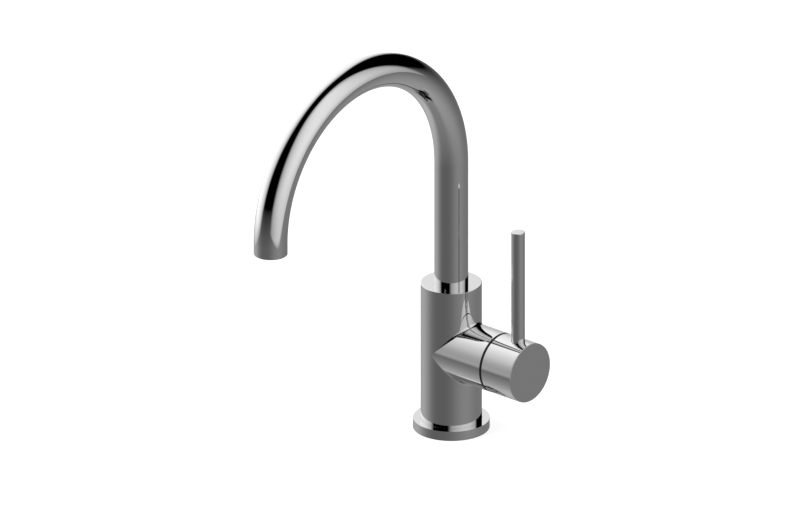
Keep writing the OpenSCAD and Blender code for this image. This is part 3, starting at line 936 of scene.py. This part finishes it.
@dataclass
class BodyAssembly:
    """Brass body with its side boss, and the flange and seal that it stands on."""

    body: Extent = packed("body")
    flange: Extent = packed("base_flange")
    seal: Extent = packed("base_seal")
    ring_nut: Extent = packed("cartridge_nut")
    washer: Extent = packed("spout_thrust_washer")
    screw: Extent = packed("spout_retaining_screw")
    stud: Extent = packed("fixing_stud")
    tube: Extent = packed("spout_tube")
    edge: float = 0.3
    crisp_edge: float = 0.06
    seam_fillet: float = 2.0
    mouth_gap: float = 0.02
    mouth_depth: float = 1.0
    chamber_step: float = 1.15
    chamber_drop: float = 1.5
    cavity_radius: float = 12.6
    cavity_floor: float = -2.0
    inlet_at: Point = (-6.0, 6.2)
    inlet_core: float = 4.5
    inlet_thread: float = 5.0
    inlet_pitch: float = 1.0
    inlet_depth: float = 12.0
    flange_bore: float = 17.0
    flange_ledge: float = 2.5
    groove_wall: float = 3.5

    @property
    def radius(self) -> float:
        """Radius of the body and of its boss."""
        return self.body.high.y

    @property
    def axis_height(self) -> float:
        """Height of the boss's axis."""
        return self.ring_nut.middle.z

    @property
    def to_boss(self) -> Matrix:
        """Place of a shape turned about +Z that belongs on the boss's axis."""
        return shift(z=self.axis_height) @ TO_BOSS

    @property
    def seal_inside(self) -> float:
        """Inner radius of the seal in the flange's groove."""
        return self.flange_bore + self.groove_wall

    def on_seam(self, at: Vector) -> bool:
        """Tell whether a point lies on the seam between the neck and the boss."""
        return abs(at.x - abs(at.z - self.axis_height)) < NEAR and at.xy.length > self.radius - SKIN

    def in_wedge(self, face: bmesh.types.BMFace) -> bool:
        """Tell whether a face lies where the boss covers the neck."""
        middle = face.calc_center_median()
        return middle.x > abs(middle.z - self.axis_height)

    def split(self, shape: Shape) -> Shape:
        """Cut a shape along the two planes of the seam.

        Args:
            shape: The shape.

        Returns:
            The shape.
        """
        for side in (-1, 1):
            shape.cut((0, 0, self.axis_height), (1, 0, side))
        return shape

    def neck(self) -> Shape:
        """Build the upright part with the spout's socket.

        Returns:
            The part, open where the boss joins it and at its foot.
        """
        socket = self.washer.high.y + FIT
        floor = self.washer.low.z
        chamber = socket - self.chamber_step
        mouth = self.tube.size.x / 2 + self.mouth_gap
        top = self.body.high.z
        shape = Shape().lathe([
            (self.radius, self.body.low.z), (self.radius, top), (mouth, top), (mouth, top - self.mouth_depth),
            (socket, top - self.mouth_depth), (socket, floor), (chamber, floor),
            (chamber, floor - self.chamber_drop), (0, floor - self.chamber_drop),
        ])
        shape.soften(self.edge, of=shape.edges(lambda at: at.xy.length > self.radius - SKIN))
        covered = [f for f in self.split(shape).bm.faces
                   if f.calc_center_median().xy.length > self.radius - SKIN and self.in_wedge(f)]
        return shape.drop(covered)

    def boss(self) -> Shape:
        """Build the side boss with the cartridge's cavity.

        Returns:
            The part, open where it joins the neck.
        """
        thread = self.ring_nut.high.y + FIT
        half_way, face = self.body.high.x / 2, self.body.high.x
        wall = self.split(Shape().lathe([(self.radius, 0), (self.radius, half_way)]).move(self.to_boss))
        wall.drop([f for f in wall.bm.faces if not self.in_wedge(f)])
        inside = Shape().lathe([
            (self.radius, half_way), (self.radius, face), (thread, face), (thread, self.ring_nut.low.x),
            (self.cavity_radius, self.ring_nut.low.x), (self.cavity_radius, self.cavity_floor),
            (0, self.cavity_floor),
        ]).soften(self.crisp_edge)
        return wall.join(inside.move(self.to_boss))

    def foot(self) -> list[Shape]:
        """Build the threaded inlets and the stud's hole in the underside.

        Returns:
            The walls of the holes, open at the underside.
        """
        low = self.body.low.z
        holes = []
        for side in (-1, 1):
            inlet = Shape().thread(self.inlet_core, self.inlet_thread, self.inlet_pitch,
                                   low, low + self.inlet_depth).cap(low + self.inlet_depth)
            holes.append(inlet.move(shift(self.inlet_at[0], side * self.inlet_at[1])))
        stud = self.stud.size.y / 2 + FIT
        hole = Shape().lathe([(stud, low), (stud, self.stud.high.z), (0, self.stud.high.z)], Round.THREAD)
        return [*holes, hole.move(shift(self.stud.middle.x))]

    def screw_hole(self) -> Shape:
        """Build the tool that drills the retaining screw's hole and breaks its edge.

        Returns:
            The tool, in its place.
        """
        radius = self.screw.size.x / 2 + FIT
        start, mouth = self.washer.high.y - PAST, self.radius - self.edge
        flare = 2 * self.edge
        drill = Shape().lathe([(0, start), (radius, start), (radius, mouth), (radius + flare, mouth + flare),
                               (0, mouth + flare)], Round.COARSE)
        return drill.move(shift(z=self.screw.middle.z) @ TO_BACK)

    def flange_ring(self) -> Shape:
        """Build the flange with the seal's groove and the body's seat.

        Returns:
            The flange.
        """
        outer, inner = self.seal.high.y + FIT, self.seal_inside - FIT
        seat, top = self.radius + FIT, self.flange.high.z
        shape = Shape().lathe([
            (self.flange_bore, 0), (inner, 0), (inner, self.seal.high.z), (outer, self.seal.high.z),
            (outer, 0), (self.flange.high.y, 0), (self.flange.high.y, top), (seat, top),
            (seat, self.flange_ledge), (self.flange_bore, self.flange_ledge),
        ], ring=True)
        shape.soften(self.crisp_edge, of=shape.edges(lambda at: at.xy.length < self.radius + SKIN))
        return shape.soften(self.edge)

    def build(self, shop: Workshop) -> None:
        """Build and dress the body, the flange and the seal.

        Args:
            shop: The workshop.
        """
        shell = self.neck().join(self.boss()).fillet(self.seam_fillet, self.on_seam)
        shell.join(*self.foot()).cap(self.body.low.z).trim("DIFFERENCE", self.screw_hole())
        shop.fit(shell, "body_shell", Body.ROOT, Slot.CHROME, "body")
        shop.fit(self.flange_ring(), "flange_ring", Body.ROOT, Slot.CHROME_FLANGE, "base_flange")
        lip = Shape().ring(self.seal_inside, self.seal.high.y, 0, self.seal.high.z).soften(self.edge)
        shop.fit(lip, "flange_seal", Body.ROOT, Slot.RUBBER, "base_seal")


@dataclass
class LeverAssembly:
    """Dome on the boss, and the hub and pin that turn and tilt over it."""

    body: Extent = packed("body")
    dome: Extent = packed("dome_cover")
    hub: Extent = packed("handle_hub")
    pin: Extent = packed("lever_pin")
    stem: Extent = packed("lever_stem")
    pivot: Extent = packed("stem_pivot_pin")
    screw: Extent = packed("handle_grub_screw")
    plug: Extent = packed("grub_screw_plug")
    edge: float = 0.3
    cup_edge: float = 0.1
    plug_edge: float = 0.12
    gap: float = 1.2
    wall: float = 1.4
    skirt_foot: float = 38.0
    skirt_inside: float = 14.0
    skirt_outside: float = 15.45
    tilt: float = 25.0
    turn: float = 45.0
    slot_play: float = 0.6
    tenon: float = 3.0
    pin_seat: float = 74.6
    # width of the ring of painted shade at the dome's foot, in the gap under the hub
    painted_shade_foot: float = 1.2
    outside_steps: int = 48
    inside_steps: int = 24
    ledge_steps: int = 8

    @property
    def centre(self) -> float:
        """Place of the tilt pivot along the boss."""
        return self.pivot.middle.x

    @property
    def radius(self) -> float:
        """Radius of the hub."""
        return self.hub.high.y

    @property
    def dome_foot(self) -> float:
        """Place of the dome's edge on the boss's face."""
        return self.body.high.x

    @property
    def dome_radius(self) -> float:
        """Radius of the dome around the tilt pivot."""
        return math.hypot(self.dome_foot - self.centre, self.radius)

    @property
    def to_boss(self) -> Matrix:
        """Place of a shape turned about +Z that belongs on the boss's axis."""
        return shift(z=self.pivot.middle.z) @ TO_BOSS

    def ball(self, radius: float, start: float, end: float, steps: int) -> list[Point]:
        """Points of a ball round the pivot, from one distance from its axis to another."""
        angles = [math.degrees(math.asin(away / radius)) for away in (start, end)]
        return arc(self.centre, radius, *angles, steps)

    def sweep(self) -> Shape:
        """Build the tool that opens the dome where the stem sweeps.

        Returns:
            A prism along the boss: a round hole with a fan below it.
        """
        half = self.stem.size.y / 2
        aside = half + self.slot_play
        reach = self.dome_radius * math.sin(math.radians(self.tilt) + aside / self.dome_radius)
        low, high = self.dome_foot, self.dome.high.x + 2 * PAST
        diagonal = math.sqrt(2) * half
        hole = Shape().rod(low, (diagonal + self.slot_play, high))
        fan = Shape().rod(low - PAST, (reach, high + PAST), flats=Round.MEDIUM)
        for side in (-1, 1):
            turn = math.radians(self.turn)
            away = (-math.sin(turn), side * math.cos(turn), 0)
            fan.cut([c * aside for c in away], away, clear=True)
            bmesh.ops.edgeloop_fill(fan.bm, edges=[e for e in fan.bm.edges if e.is_boundary])
        return fan.trim("UNION", hole)

    def cover(self) -> Shape:
        """Build the dome with its skirt, open where the stem sweeps.

        Returns:
            The dome.
        """
        outer, inner = self.dome_radius, self.dome_radius - self.wall
        flat = math.sqrt(inner ** 2 - (self.dome_foot - self.centre) ** 2)
        shape = Shape().lathe([
            *self.ball(outer, 0, self.radius, self.outside_steps),
            *self.ball(inner, flat, self.skirt_outside, self.ledge_steps),
            (self.skirt_outside, self.skirt_foot), (self.skirt_inside, self.skirt_foot),
            *self.ball(inner, self.skirt_inside, 0, self.inside_steps),
        ])
        return shape.trim("DIFFERENCE", self.sweep()).move(self.to_boss)

    def hub_shell(self) -> Shape:
        """Build the hub with its cup, the stem's socket and the bores for pin and screw.

        Returns:
            The hub.
        """
        end, axis = self.hub.high.x, self.pivot.middle.z
        shape = Shape().lathe([
            *self.ball(self.dome_radius + self.gap, 0, self.radius, self.outside_steps),
            (self.radius, end), (0, end),
        ])
        shape.soften(self.edge, of=shape.edges(lambda at: at.z > end - SKIN))
        shape.soften(self.cup_edge).move(self.to_boss)
        half = self.stem.size.y / 2 + FIT
        socket = Shape().block((self.centre, -half, axis - half),
                               (self.stem.high.x + 2 * FIT, half, axis + half))
        pin_bore = Shape().rod(self.pin.low.z - 2 * FIT, (self.tenon + FIT, self.pin_seat),
                               (self.pin.size.y / 2 + FIT, self.hub.high.z + PAST), flats=Round.MEDIUM)
        screw_bore = Shape().rod(self.hub.low.z - PAST, (self.plug.size.y / 2 + FIT, self.plug.high.z),
                                 (self.screw.size.y / 2 + FIT, axis))
        at = shift(self.pin.middle.x)
        return shape.trim("DIFFERENCE", socket, pin_bore.move(at), screw_bore.move(at))

    def pin_rod(self) -> Shape:
        """Build the upright pin with its tenon.

        Returns:
            The pin.
        """
        shape = Shape().rod(self.pin.low.z, (self.tenon, self.pin_seat),
                            (self.pin.size.y / 2, self.pin.high.z), flats=Round.MEDIUM)
        return shape.soften(self.edge).move(shift(self.pin.middle.x))

    def plug_disc(self) -> Shape:
        """Build the plug, flush with the hub's underside.

        Returns:
            The plug.
        """
        disc = Shape().rod(self.plug.low.z - PAST, (self.plug.size.y / 2, self.plug.high.z))
        skin = Shape().rod(self.hub.low.x, (self.radius, self.hub.high.x), flats=Round.FINE)
        disc.move(shift(self.plug.middle.x)).trim("INTERSECT", skin.move(self.to_boss))
        return disc.soften(self.plug_edge, segments=2, corner=50)

    def mix_finishes(self, shop: Workshop) -> None:
        """Mix the plates of hub and dome, with painted shade where the gap between them lies: inside the
        hub's cup and on a ring at the dome's foot.

        Args:
            shop: The workshop that keeps them.
        """
        pivot = tuple(self.pivot.middle * MM)
        cup = (self.dome_radius + self.gap + FIT) * MM
        # Painted shade inside the hub's cup
        shop.mix(Slot.CHROME_HUB, PaintedGapShadePlate("chrome_hub", PLATE, pivot, painted_shade=(0, cup)))
        # Painted shade on a ring at the dome's foot, where the hub's rim overhangs it
        foot = ((self.radius - self.painted_shade_foot) * MM, self.radius * MM)
        shop.mix(Slot.CHROME_DOME, PaintedGapShadePlate("chrome_dome", PLATE, pivot, painted_shade=foot, axes=(0, 1, 1)))

    def build(self, shop: Workshop) -> None:
        """Build and dress the dome, the hub, the pin and the plug.

        Args:
            shop: The workshop.
        """
        self.mix_finishes(shop)
        shop.fit(self.cover(), "dome_shell", Body.ROOT, Slot.CHROME_DOME, "dome_cover")
        shop.fit(self.hub_shell(), "hub_shell", Body.LEVER, Slot.CHROME_HUB, "handle_hub")
        shop.fit(self.pin_rod(), "lever_rod", Body.LEVER, Slot.CHROME_PIN, "lever_pin")
        shop.fit(self.plug_disc(), "screw_plug", Body.LEVER, Slot.PLUG, "grub_screw_plug")


@dataclass
class SpoutAssembly:
    """Gooseneck tube with the aerator in its mouth."""

    tube: Extent = packed("spout_tube")
    housing: Extent = packed("aerator_housing")
    insert: Extent = packed("aerator_insert")
    washer: Extent = packed("aerator_seal")
    seat: Extent = packed("aerator_seat")
    wall: float = 1.5
    lip_edge: float = 0.35
    drop: float = 7.6
    arch_steps: int = 144
    recess: float = 0.6
    cup_lip: float = 0.8
    cup_wall: float = 1.2
    cup_edge: float = 0.18
    comb_rim: float = 0.5
    cell_pitch: float = 2.2
    cell_radius: float = 1.12
    washer_bore: float = 7.5
    seat_bore: float = 7.0
    ring_edge: float = 0.2

    @property
    def radius(self) -> float:
        """Outer radius of the tube."""
        return self.tube.size.x / 2

    @property
    def outlet(self) -> float:
        """Place of the outlet's axis along Y."""
        return self.tube.low.y + self.radius

    @property
    def outlet_height(self) -> float:
        """Height of the spout's rim."""
        return self.housing.low.z - self.recess

    def bend(self, radius: float) -> Shape:
        """Build one wall of the tube, open at both ends.

        Args:
            radius: The wall's radius.

        Returns:
            The wall: riser, arch and outlet.
        """
        shape = Shape()
        foot, height = self.tube.low.z, self.outlet_height + self.drop
        bmesh.ops.create_circle(shape.bm, cap_ends=False, radius=radius, segments=Round.MEDIUM.value,
                                matrix=shift(z=foot), calc_uvs=False)
        points = shape.pull(shape.bm.edges[:], height - foot)
        top = set(points)
        ring = [e for e in shape.bm.edges if all(v in top for v in e.verts)]
        arch = bmesh.ops.spin(shape.bm, geom=points + ring, cent=(0, self.outlet / 2, height), axis=(1, 0, 0),
                              dvec=(0, 0, 0), angle=math.pi, steps=self.arch_steps, use_merge=False)
        mouth = [item for item in arch["geom_last"] if isinstance(item, bmesh.types.BMEdge)]
        shape.pull(mouth, -self.drop)
        return shape

    def gooseneck(self) -> Shape:
        """Build the whole tube with its wall.

        Returns:
            The tube.
        """
        shape = self.bend(self.radius).join(self.bend(self.radius - self.wall))
        for level in (self.tube.low.z, self.outlet_height):
            bmesh.ops.bridge_loops(shape.bm, edges=shape.rim(level))
        return shape.outward().soften(self.lip_edge, segments=4, corner=60)

    def cells(self, radius: float) -> list[Point]:
        """Centres of the honeycomb's cells inside a circle.

        Args:
            radius: The circle's radius.

        Returns:
            The centres.
        """
        row_pitch = self.cell_pitch * math.sqrt(3) / 2
        rows = range(-math.floor(radius / row_pitch), math.floor(radius / row_pitch) + 1)
        columns = range(-math.ceil(radius / self.cell_pitch), math.ceil(radius / self.cell_pitch) + 1)
        spots = [(c * self.cell_pitch + (row % 2) * self.cell_pitch / 2, row * row_pitch)
                 for row in rows for c in columns]
        return [at for at in spots if math.hypot(*at) + self.cell_radius < radius]

    def cup(self) -> Shape:
        """Build the aerator's cup with its inward lip.

        Returns:
            The cup, on the axis.
        """
        low, high = self.housing.low.z, self.housing.high.z
        radius = self.housing.size.x / 2
        inner = radius - self.cup_wall
        shape = Shape().lathe([
            (inner - self.cup_lip, low), (radius, low), (radius, high), (inner, high),
            (inner, low + self.cup_lip), (inner - self.cup_lip, low + self.cup_lip),
        ], Round.MEDIUM, ring=True)
        return shape.soften(self.cup_edge)

    def build(self, shop: Workshop) -> None:
        """Build and dress the tube and the aerator.

        Args:
            shop: The workshop.
        """
        shop.fit(self.gooseneck(), "gooseneck", Body.SPOUT, Slot.CHROME_SPOUT, "spout_tube")
        size = self.insert.size.x / 2
        comb = Shape().pierced(size, self.cells(size - self.comb_rim), self.cell_radius,
                               self.insert.low.z, self.insert.high.z)
        washer, seat = (
            Shape().ring(bore, extent.size.x / 2, extent.low.z, extent.high.z).soften(self.ring_edge)
            for bore, extent in ((self.washer_bore, self.washer), (self.seat_bore, self.seat))
        )
        for shape, name, slot, node in (
            (self.cup(), "aerator_cup", Slot.AERATOR_PLASTIC, "aerator_housing"),
            (comb, "aerator_comb", Slot.AERATOR_PLASTIC, "aerator_insert"),
            (washer, "aerator_washer", Slot.RUBBER, "aerator_seal"),
            (seat, "aerator_ring", Slot.BRASS, "aerator_seat"),
        ):
            shop.fit(shape.move(shift(y=self.outlet)), name, Body.SPOUT, slot, node)


@dataclass
class FixingKit:
    """What is under the deck: stud, gasket, bracket and nut; and the screw at the back."""

    stud: Extent = packed("fixing_stud")
    gasket: Extent = packed("fixing_gasket")
    bracket: Extent = packed("fixing_bracket")
    nut: Extent = packed("fixing_nut")
    keeper: Extent = packed("spout_retaining_screw")
    washer: Extent = packed("spout_thrust_washer")
    thread_depth: float = 0.65
    pitch: float = 1.25
    lead: float = 1.0
    run_out: float = 0.2
    gap: float = 25.2
    gap_end: float = 3.5
    hole_play: float = 0.2
    plate_edge: float = 0.35
    nut_lead: float = 0.1
    nut_reach: float = 2.2
    keeper_depth: float = 0.4
    keeper_pitch: float = 0.8
    keeper_lead: float = 0.5
    keeper_tip: float = 1.5
    keeper_shoulder: float = 0.85
    tip_edge: float = 0.3
    hex_flats: float = 2.5
    hex_depth: float = 2.5

    def threaded(self, radius: float, depth: float, pitch: float,
                 low: float, high: float, lead: float) -> Shape:
        """Build a threaded rod about +Z whose thread runs out at both ends.

        Args:
            radius: The crest's radius.
            depth: The thread's depth.
            pitch: The rise of one turn.
            low: The lower end.
            high: The upper end.
            lead: The length over which the ends taper.

        Returns:
            The closed rod.
        """
        root = radius - depth
        shape = Shape().thread(root, radius, pitch, low, high)
        for point in shape.bm.verts:
            near = min(point.co.z - low, high - point.co.z)
            limit = root - self.run_out + (depth + self.run_out) * min(1.0, max(0.0, near / lead))
            reach = point.co.xy.length
            if reach > limit:
                point.co.xy *= limit / reach
        return shape.cap(low).cap(high)

    def horseshoe(self, extent: Extent) -> Shape:
        """Build a horseshoe plate with the stud's hole.

        Args:
            extent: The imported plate's extent.

        Returns:
            The plate.
        """
        radius = extent.size.y / 2
        low, high = extent.low.z, extent.high.z
        opening = Shape().block((-radius - 5 * PAST, -self.gap / 2, low - PAST),
                                (self.gap_end, self.gap / 2, high + PAST))
        bore = Shape().rod(low - PAST, (self.stud.size.y / 2 + self.hole_play, high + PAST))
        disc = Shape().rod(low, (radius, high), flats=Round.MEDIUM)
        disc.trim("DIFFERENCE", opening, bore.move(shift(self.stud.middle.x)))
        return disc.soften(self.plate_edge, corner=40)

    def nut_body(self) -> Shape:
        """Build the nut: a hexagon with turned corners and a threaded bore.

        Returns:
            The nut, on the axis.
        """
        corner = self.nut.size.x / 2
        flats = corner * math.cos(HALF_SIDE)
        low, high = self.nut.low.z, self.nut.high.z
        drop = (corner - flats) * math.tan(HALF_SIDE)
        clear = corner + 2 * FIT
        turned = Shape().lathe([
            (0, low), (flats, low), (clear, low + drop), (clear, high - drop), (flats, high), (0, high),
        ], Round.MEDIUM)
        bore = self.threaded(self.stud.size.y / 2 + FIT, self.thread_depth, self.pitch,
                             low - self.nut_reach, high + self.nut_reach, self.nut_lead)
        hexagon = Shape().rod(low, (corner, high), flats=Round.CELL)
        return hexagon.trim("INTERSECT", turned).trim("DIFFERENCE", bore)

    def keeper_screw(self) -> Shape:
        """Build the grub screw at the back: thread, tip and hexagonal recess.

        Returns:
            The screw, about +Z.
        """
        foot, head = self.washer.high.y + self.keeper_shoulder, self.keeper.high.y
        shape = self.threaded(self.keeper.size.x / 2, self.keeper_depth, self.keeper_pitch, foot, head,
                              self.keeper_lead)
        tip = Shape().rod(self.keeper.low.y, (self.keeper_tip, foot + self.keeper_lead)).soften(self.tip_edge)
        corner = self.hex_flats / math.sqrt(3)
        recess = Shape().rod(head - self.hex_depth, (corner, head + PAST), flats=Round.CELL)
        return shape.trim("UNION", tip).trim("DIFFERENCE", recess)

    def build(self, shop: Workshop) -> None:
        """Build and dress the fixing under the deck and the retaining screw.

        Args:
            shop: The workshop.
        """
        at = shift(self.stud.middle.x)
        stud = self.threaded(self.stud.size.y / 2, self.thread_depth, self.pitch, self.stud.low.z,
                             self.stud.high.z, self.lead)
        for shape, name, slot, node in (
            (stud.move(at), "threaded_stud", Slot.STEEL, "fixing_stud"),
            (self.horseshoe(self.gasket), "rubber_horseshoe", Slot.RUBBER, "fixing_gasket"),
            (self.horseshoe(self.bracket), "steel_horseshoe", Slot.STEEL_PLATE, "fixing_bracket"),
            (self.nut_body().move(at), "hexagon_nut", Slot.BRASS, "fixing_nut"),
        ):
            # The deck hides these pieces from the chrome above it
            shop.fit(shape, name, Body.ROOT, slot, node).visible_glossy = False
        keeper = self.keeper_screw().move(shift(z=self.keeper.middle.z) @ TO_BACK)
        shop.fit(keeper, "retaining_grub_screw", Body.ROOT, Slot.STEEL, "spout_retaining_screw")


@dataclass(frozen=True)
class PanelEdge:
    """How a panel ends: it dims towards its edge, and fades to nothing there.

    Places on a panel are divided by its distance. Fade and dimming run inwards, so they are
    negative where the panel lies on the lower side of its edge.
    """

    place: float
    fade: float
    dimming: float
    left: float

    def seen(self, along: Sock) -> Sock:
        """Share of the panel's strength at each place along it."""
        fading = along.ramp(self.place - self.fade, self.place + self.fade)
        return fading * along.ramp(self.place, self.place + self.dimming, self.left, 1.0)


@dataclass(frozen=True)
class Panel:
    """A large white panel beside the mixer, as the chrome mirrors it.

    The panel stands across the X axis. At its top it fades from nothing at the first place to its
    full strength at the second.
    """

    side: int
    strength: float
    top: Point
    foot: PanelEdge
    front: PanelEdge
    back: PanelEdge

    def seen(self, parts: Made) -> Sock:
        """Brightness of the panel in each direction.

        Args:
            parts: The node that splits a direction into X, Y and Z.

        Returns:
            The brightness.
        """
        facing = parts["X"] * self.side
        ahead = facing.most(SLIVER)
        along, rise = parts["Y"] / ahead, parts["Z"] / ahead
        across = self.front.seen(along) * self.back.seen(along)
        return across * self.foot.seen(rise) * rise.ramp(*self.top) * facing.ramp(0, BLUR) * self.strength


@dataclass(frozen=True)
class Ground:
    """The grey floor around the mixer, as the chrome mirrors it."""

    strength: float = 0.265
    horizon: float = 0.071
    deepening: float = 0.767
    behind: float = 0.62
    glow: tuple[tuple[int, float], ...] = ((1, 0.147), (-1, 0.342))
    spread: float = 3.23
    reach: Point = (0.123, 0.567)

    def seen(self, parts: Made) -> Sock:
        """Brightness of the floor in each direction, with a glow before each panel.

        Args:
            parts: The node that splits a direction into X, Y and Z.

        Returns:
            The brightness.
        """
        across, along, rise = parts["X"], parts["Y"], parts["Z"]
        level = (across * across + along * along).root() + SMALL
        depth = (self.horizon - rise).most(0).power(self.deepening)
        total = depth * self.strength * (1 + (along / level).most(0) * self.behind)
        for side, share in self.glow:
            toward = (across * side / level).most(0).power(self.spread)
            near = (across * side / (rise * -1).most(SLIVER)).ramp(*self.reach)
            total = total + toward * near * rise.ramp(0, -BLUR) * share
        return total


@dataclass(frozen=True)
class Lamp:
    """A soft lamp: its direction in degrees, its distance and side in metres, its power in watts."""

    name: str
    azimuth: float
    elevation: float
    reach: float
    size: float
    power: float


@dataclass
class Studio:
    """Camera, floor, lamps and surroundings."""

    azimuth: float = 41.1                # the photograph's view, in degrees round from -Y
    elevation: float = 23.2              # the same, above the deck
    frame_width: float = 800             # the photograph's frame, in pixels
    frame_height: float = 512
    foot_at: Point = (451.3, 425.95)     # the pixel at which the mixer's foot is centred
    scale: float = 1.537                 # pixels to the millimetre
    distance: float = 3.0
    view_depth: float = 20.0
    floor_size: float = 12.0
    floor_drop: float = 0.00005
    floor_colour: float = 0.5
    floor_glow: float = 0.66
    soft_light: float = 0.62
    lamp_aim: Triple = (0, 0, 0.12)
    lamps: tuple[Lamp, ...] = (
        Lamp("key", azimuth=-35, elevation=55, reach=1.4, size=1.1, power=14.0),
        Lamp("fill", azimuth=110, elevation=40, reach=1.6, size=1.2, power=8.4),
    )
    panels: tuple[Panel, ...] = (
        Panel(1, 1.065, top=(5.783, 1.26), foot=PanelEdge(-0.421, 0.05, 0.601, 0.753),
              front=PanelEdge(-1.481, 0.493, 1.672, 0.454), back=PanelEdge(1.584, -0.257, -1.373, 0.529)),
        Panel(-1, 1.442, top=(4.084, 0.488), foot=PanelEdge(-0.44, 0.05, 0.259, 0.501),
              front=PanelEdge(-1.423, 0.432, 1.447, 0.452), back=PanelEdge(1.376, -0.329, -0.959, 0.709)),
    )
    ground: Ground = Ground()

    @staticmethod
    def direction(azimuth: float, elevation: float) -> Vector:
        """Direction from the mixer to a place around it, azimuth 0 being -Y and 90 +X."""
        a, e = math.radians(azimuth), math.radians(elevation)
        return Vector((math.sin(a) * math.cos(e), -math.cos(a) * math.cos(e), math.sin(e)))

    @staticmethod
    def hang(name: str, data: bpy.types.Camera | bpy.types.Light,
             turn: Quaternion, at: Vector) -> bpy.types.Object:
        """Put a camera or a lamp in its place.

        Args:
            name: The object's name.
            data: The camera or lamp.
            turn: How it is turned.
            at: Where it hangs, in metres.

        Returns:
            The object.
        """
        made = bpy.data.objects.new(name, data)
        made.rotation_mode = "QUATERNION"
        made.rotation_quaternion = turn
        made.location = at
        bpy.context.scene.collection.objects.link(made)
        return made

    def camera(self) -> None:
        """Set up the camera, in parallel projection as in the photograph."""
        back = self.direction(self.azimuth, self.elevation)
        turn = (-back).to_track_quat("-Z", "Y")
        right, up = turn @ Vector((1, 0, 0)), turn @ Vector((0, 1, 0))
        across = (self.frame_width / 2 - self.foot_at[0]) / self.scale * MM
        above = (self.foot_at[1] - self.frame_height / 2) / self.scale * MM
        data = bpy.data.cameras.new("photo_camera")
        data.type = "ORTHO"
        data.ortho_scale = self.frame_width / self.scale * MM
        data.clip_end = self.view_depth
        at = right * across + up * above + back * self.distance
        bpy.context.scene.camera = self.hang("photo_camera", data, turn, at)

    def lamp(self, plan: Lamp) -> None:
        """Hang a lamp that the chrome doesn't mirror.

        Args:
            plan: What the lamp is like.
        """
        data = bpy.data.lights.new(plan.name, "AREA")
        data.shape, data.size, data.energy = "SQUARE", plan.size, plan.power
        back = self.direction(plan.azimuth, plan.elevation)
        at = back * plan.reach + Vector(self.lamp_aim)
        self.hang(plan.name, data, back.to_track_quat("Z", "Y"), at).visible_glossy = False

    def world(self) -> None:
        """White for the camera, plain soft light for matt pieces, and panels for the chrome."""
        made = bpy.data.worlds.new("studio")
        bpy.context.scene.world = made
        tree = Tree(made)
        paths = tree.node("ShaderNodeLightPath")
        at = tree.node("ShaderNodeTexCoord")["Generated"]
        parts = tree.node("ShaderNodeSeparateXYZ", {}, {"Vector": at})
        bright = self.ground.seen(parts)
        for panel in self.panels:
            bright = bright.most(panel.seen(parts))
        mirrored = paths["Is Glossy Ray"]
        open_air = paths["Is Camera Ray"].most(paths["Is Transmission Ray"])
        strength = mirrored * bright + (1 - mirrored) * (open_air + (1 - open_air) * self.soft_light)
        glow = tree.node("ShaderNodeBackground", {}, {"Color": WHITE, "Strength": strength})
        tree.node("ShaderNodeOutputWorld", {}, {"Surface": glow["Background"]})

    def floor_finish(self) -> bpy.types.Material:
        """Mix the pale floor's finish; from below it is clear, so that the fixing shows.

        Returns:
            The material.
        """
        finish = bpy.data.materials.new("pale_floor")
        tree = Tree(finish)
        seen = tree.node("ShaderNodeLightPath")["Is Camera Ray"] * self.floor_glow
        grey = (self.floor_colour, self.floor_colour, self.floor_colour, 1)
        lit = tree.node("ShaderNodeBsdfDiffuse", {}, {"Color": grey})["BSDF"]
        glow = tree.node("ShaderNodeEmission", {}, {"Color": WHITE, "Strength": seen})["Emission"]
        pale = tree.node("ShaderNodeAddShader", {}, {0: lit, 1: glow})["Shader"]
        clear = tree.node("ShaderNodeBsdfTransparent")["BSDF"]
        under = tree.node("ShaderNodeNewGeometry")["Backfacing"]
        both = tree.node("ShaderNodeMixShader", {}, {0: under, 1: pale, 2: clear})["Shader"]
        tree.node("ShaderNodeOutputMaterial", {}, {"Surface": both})
        return finish

    def floor(self) -> None:
        """Lay the floor, a little below the flange."""
        shape = Shape()
        bmesh.ops.create_grid(shape.bm, x_segments=1, y_segments=1, size=self.floor_size / 2)
        made = shape.move(shift(z=-self.floor_drop)).loose("floor")
        made.data.materials.append(self.floor_finish())
        made.visible_glossy = False

    def build(self) -> None:
        """Set up the whole studio."""
        bpy.context.scene.view_settings.view_transform = "Standard"
        self.camera()
        self.world()
        self.floor()
        for plan in self.lamps:
            self.lamp(plan)


PACKED_SLOTS: dict[Slot, tuple[str, ...]] = {
    Slot.BRASS: ("lever_stem", "cartridge_nut", "spout_connector"),
    Slot.STEEL: ("stem_pivot_pin", "handle_grub_screw", "aerator_screen"),
    Slot.RUBBER: ("cartridge_seals", "spout_o_rings"),
    Slot.CERAMIC: ("fixed_disc", "moving_disc"),
    Slot.CARTRIDGE_PLASTIC: ("cartridge_base", "disc_carrier", "cartridge_rotor", "spout_slip_ring",
                             "spout_thrust_washer"),
    Slot.CARTRIDGE_SHELL: ("cartridge_housing",),
}


def main() -> None:
    """Build every sub-assembly and the studio."""
    logging.basicConfig(level=logging.INFO, format="%(name)s: %(message)s")
    shop = Workshop()
    for assembly in (BodyAssembly(), SpoutAssembly(), LeverAssembly(), FixingKit()):
        assembly.build(shop)
    for slot, nodes in PACKED_SLOTS.items():
        for node in nodes:
            shop.dress(node, slot)
    Studio().build()


if __name__ == "__main__":
    main()
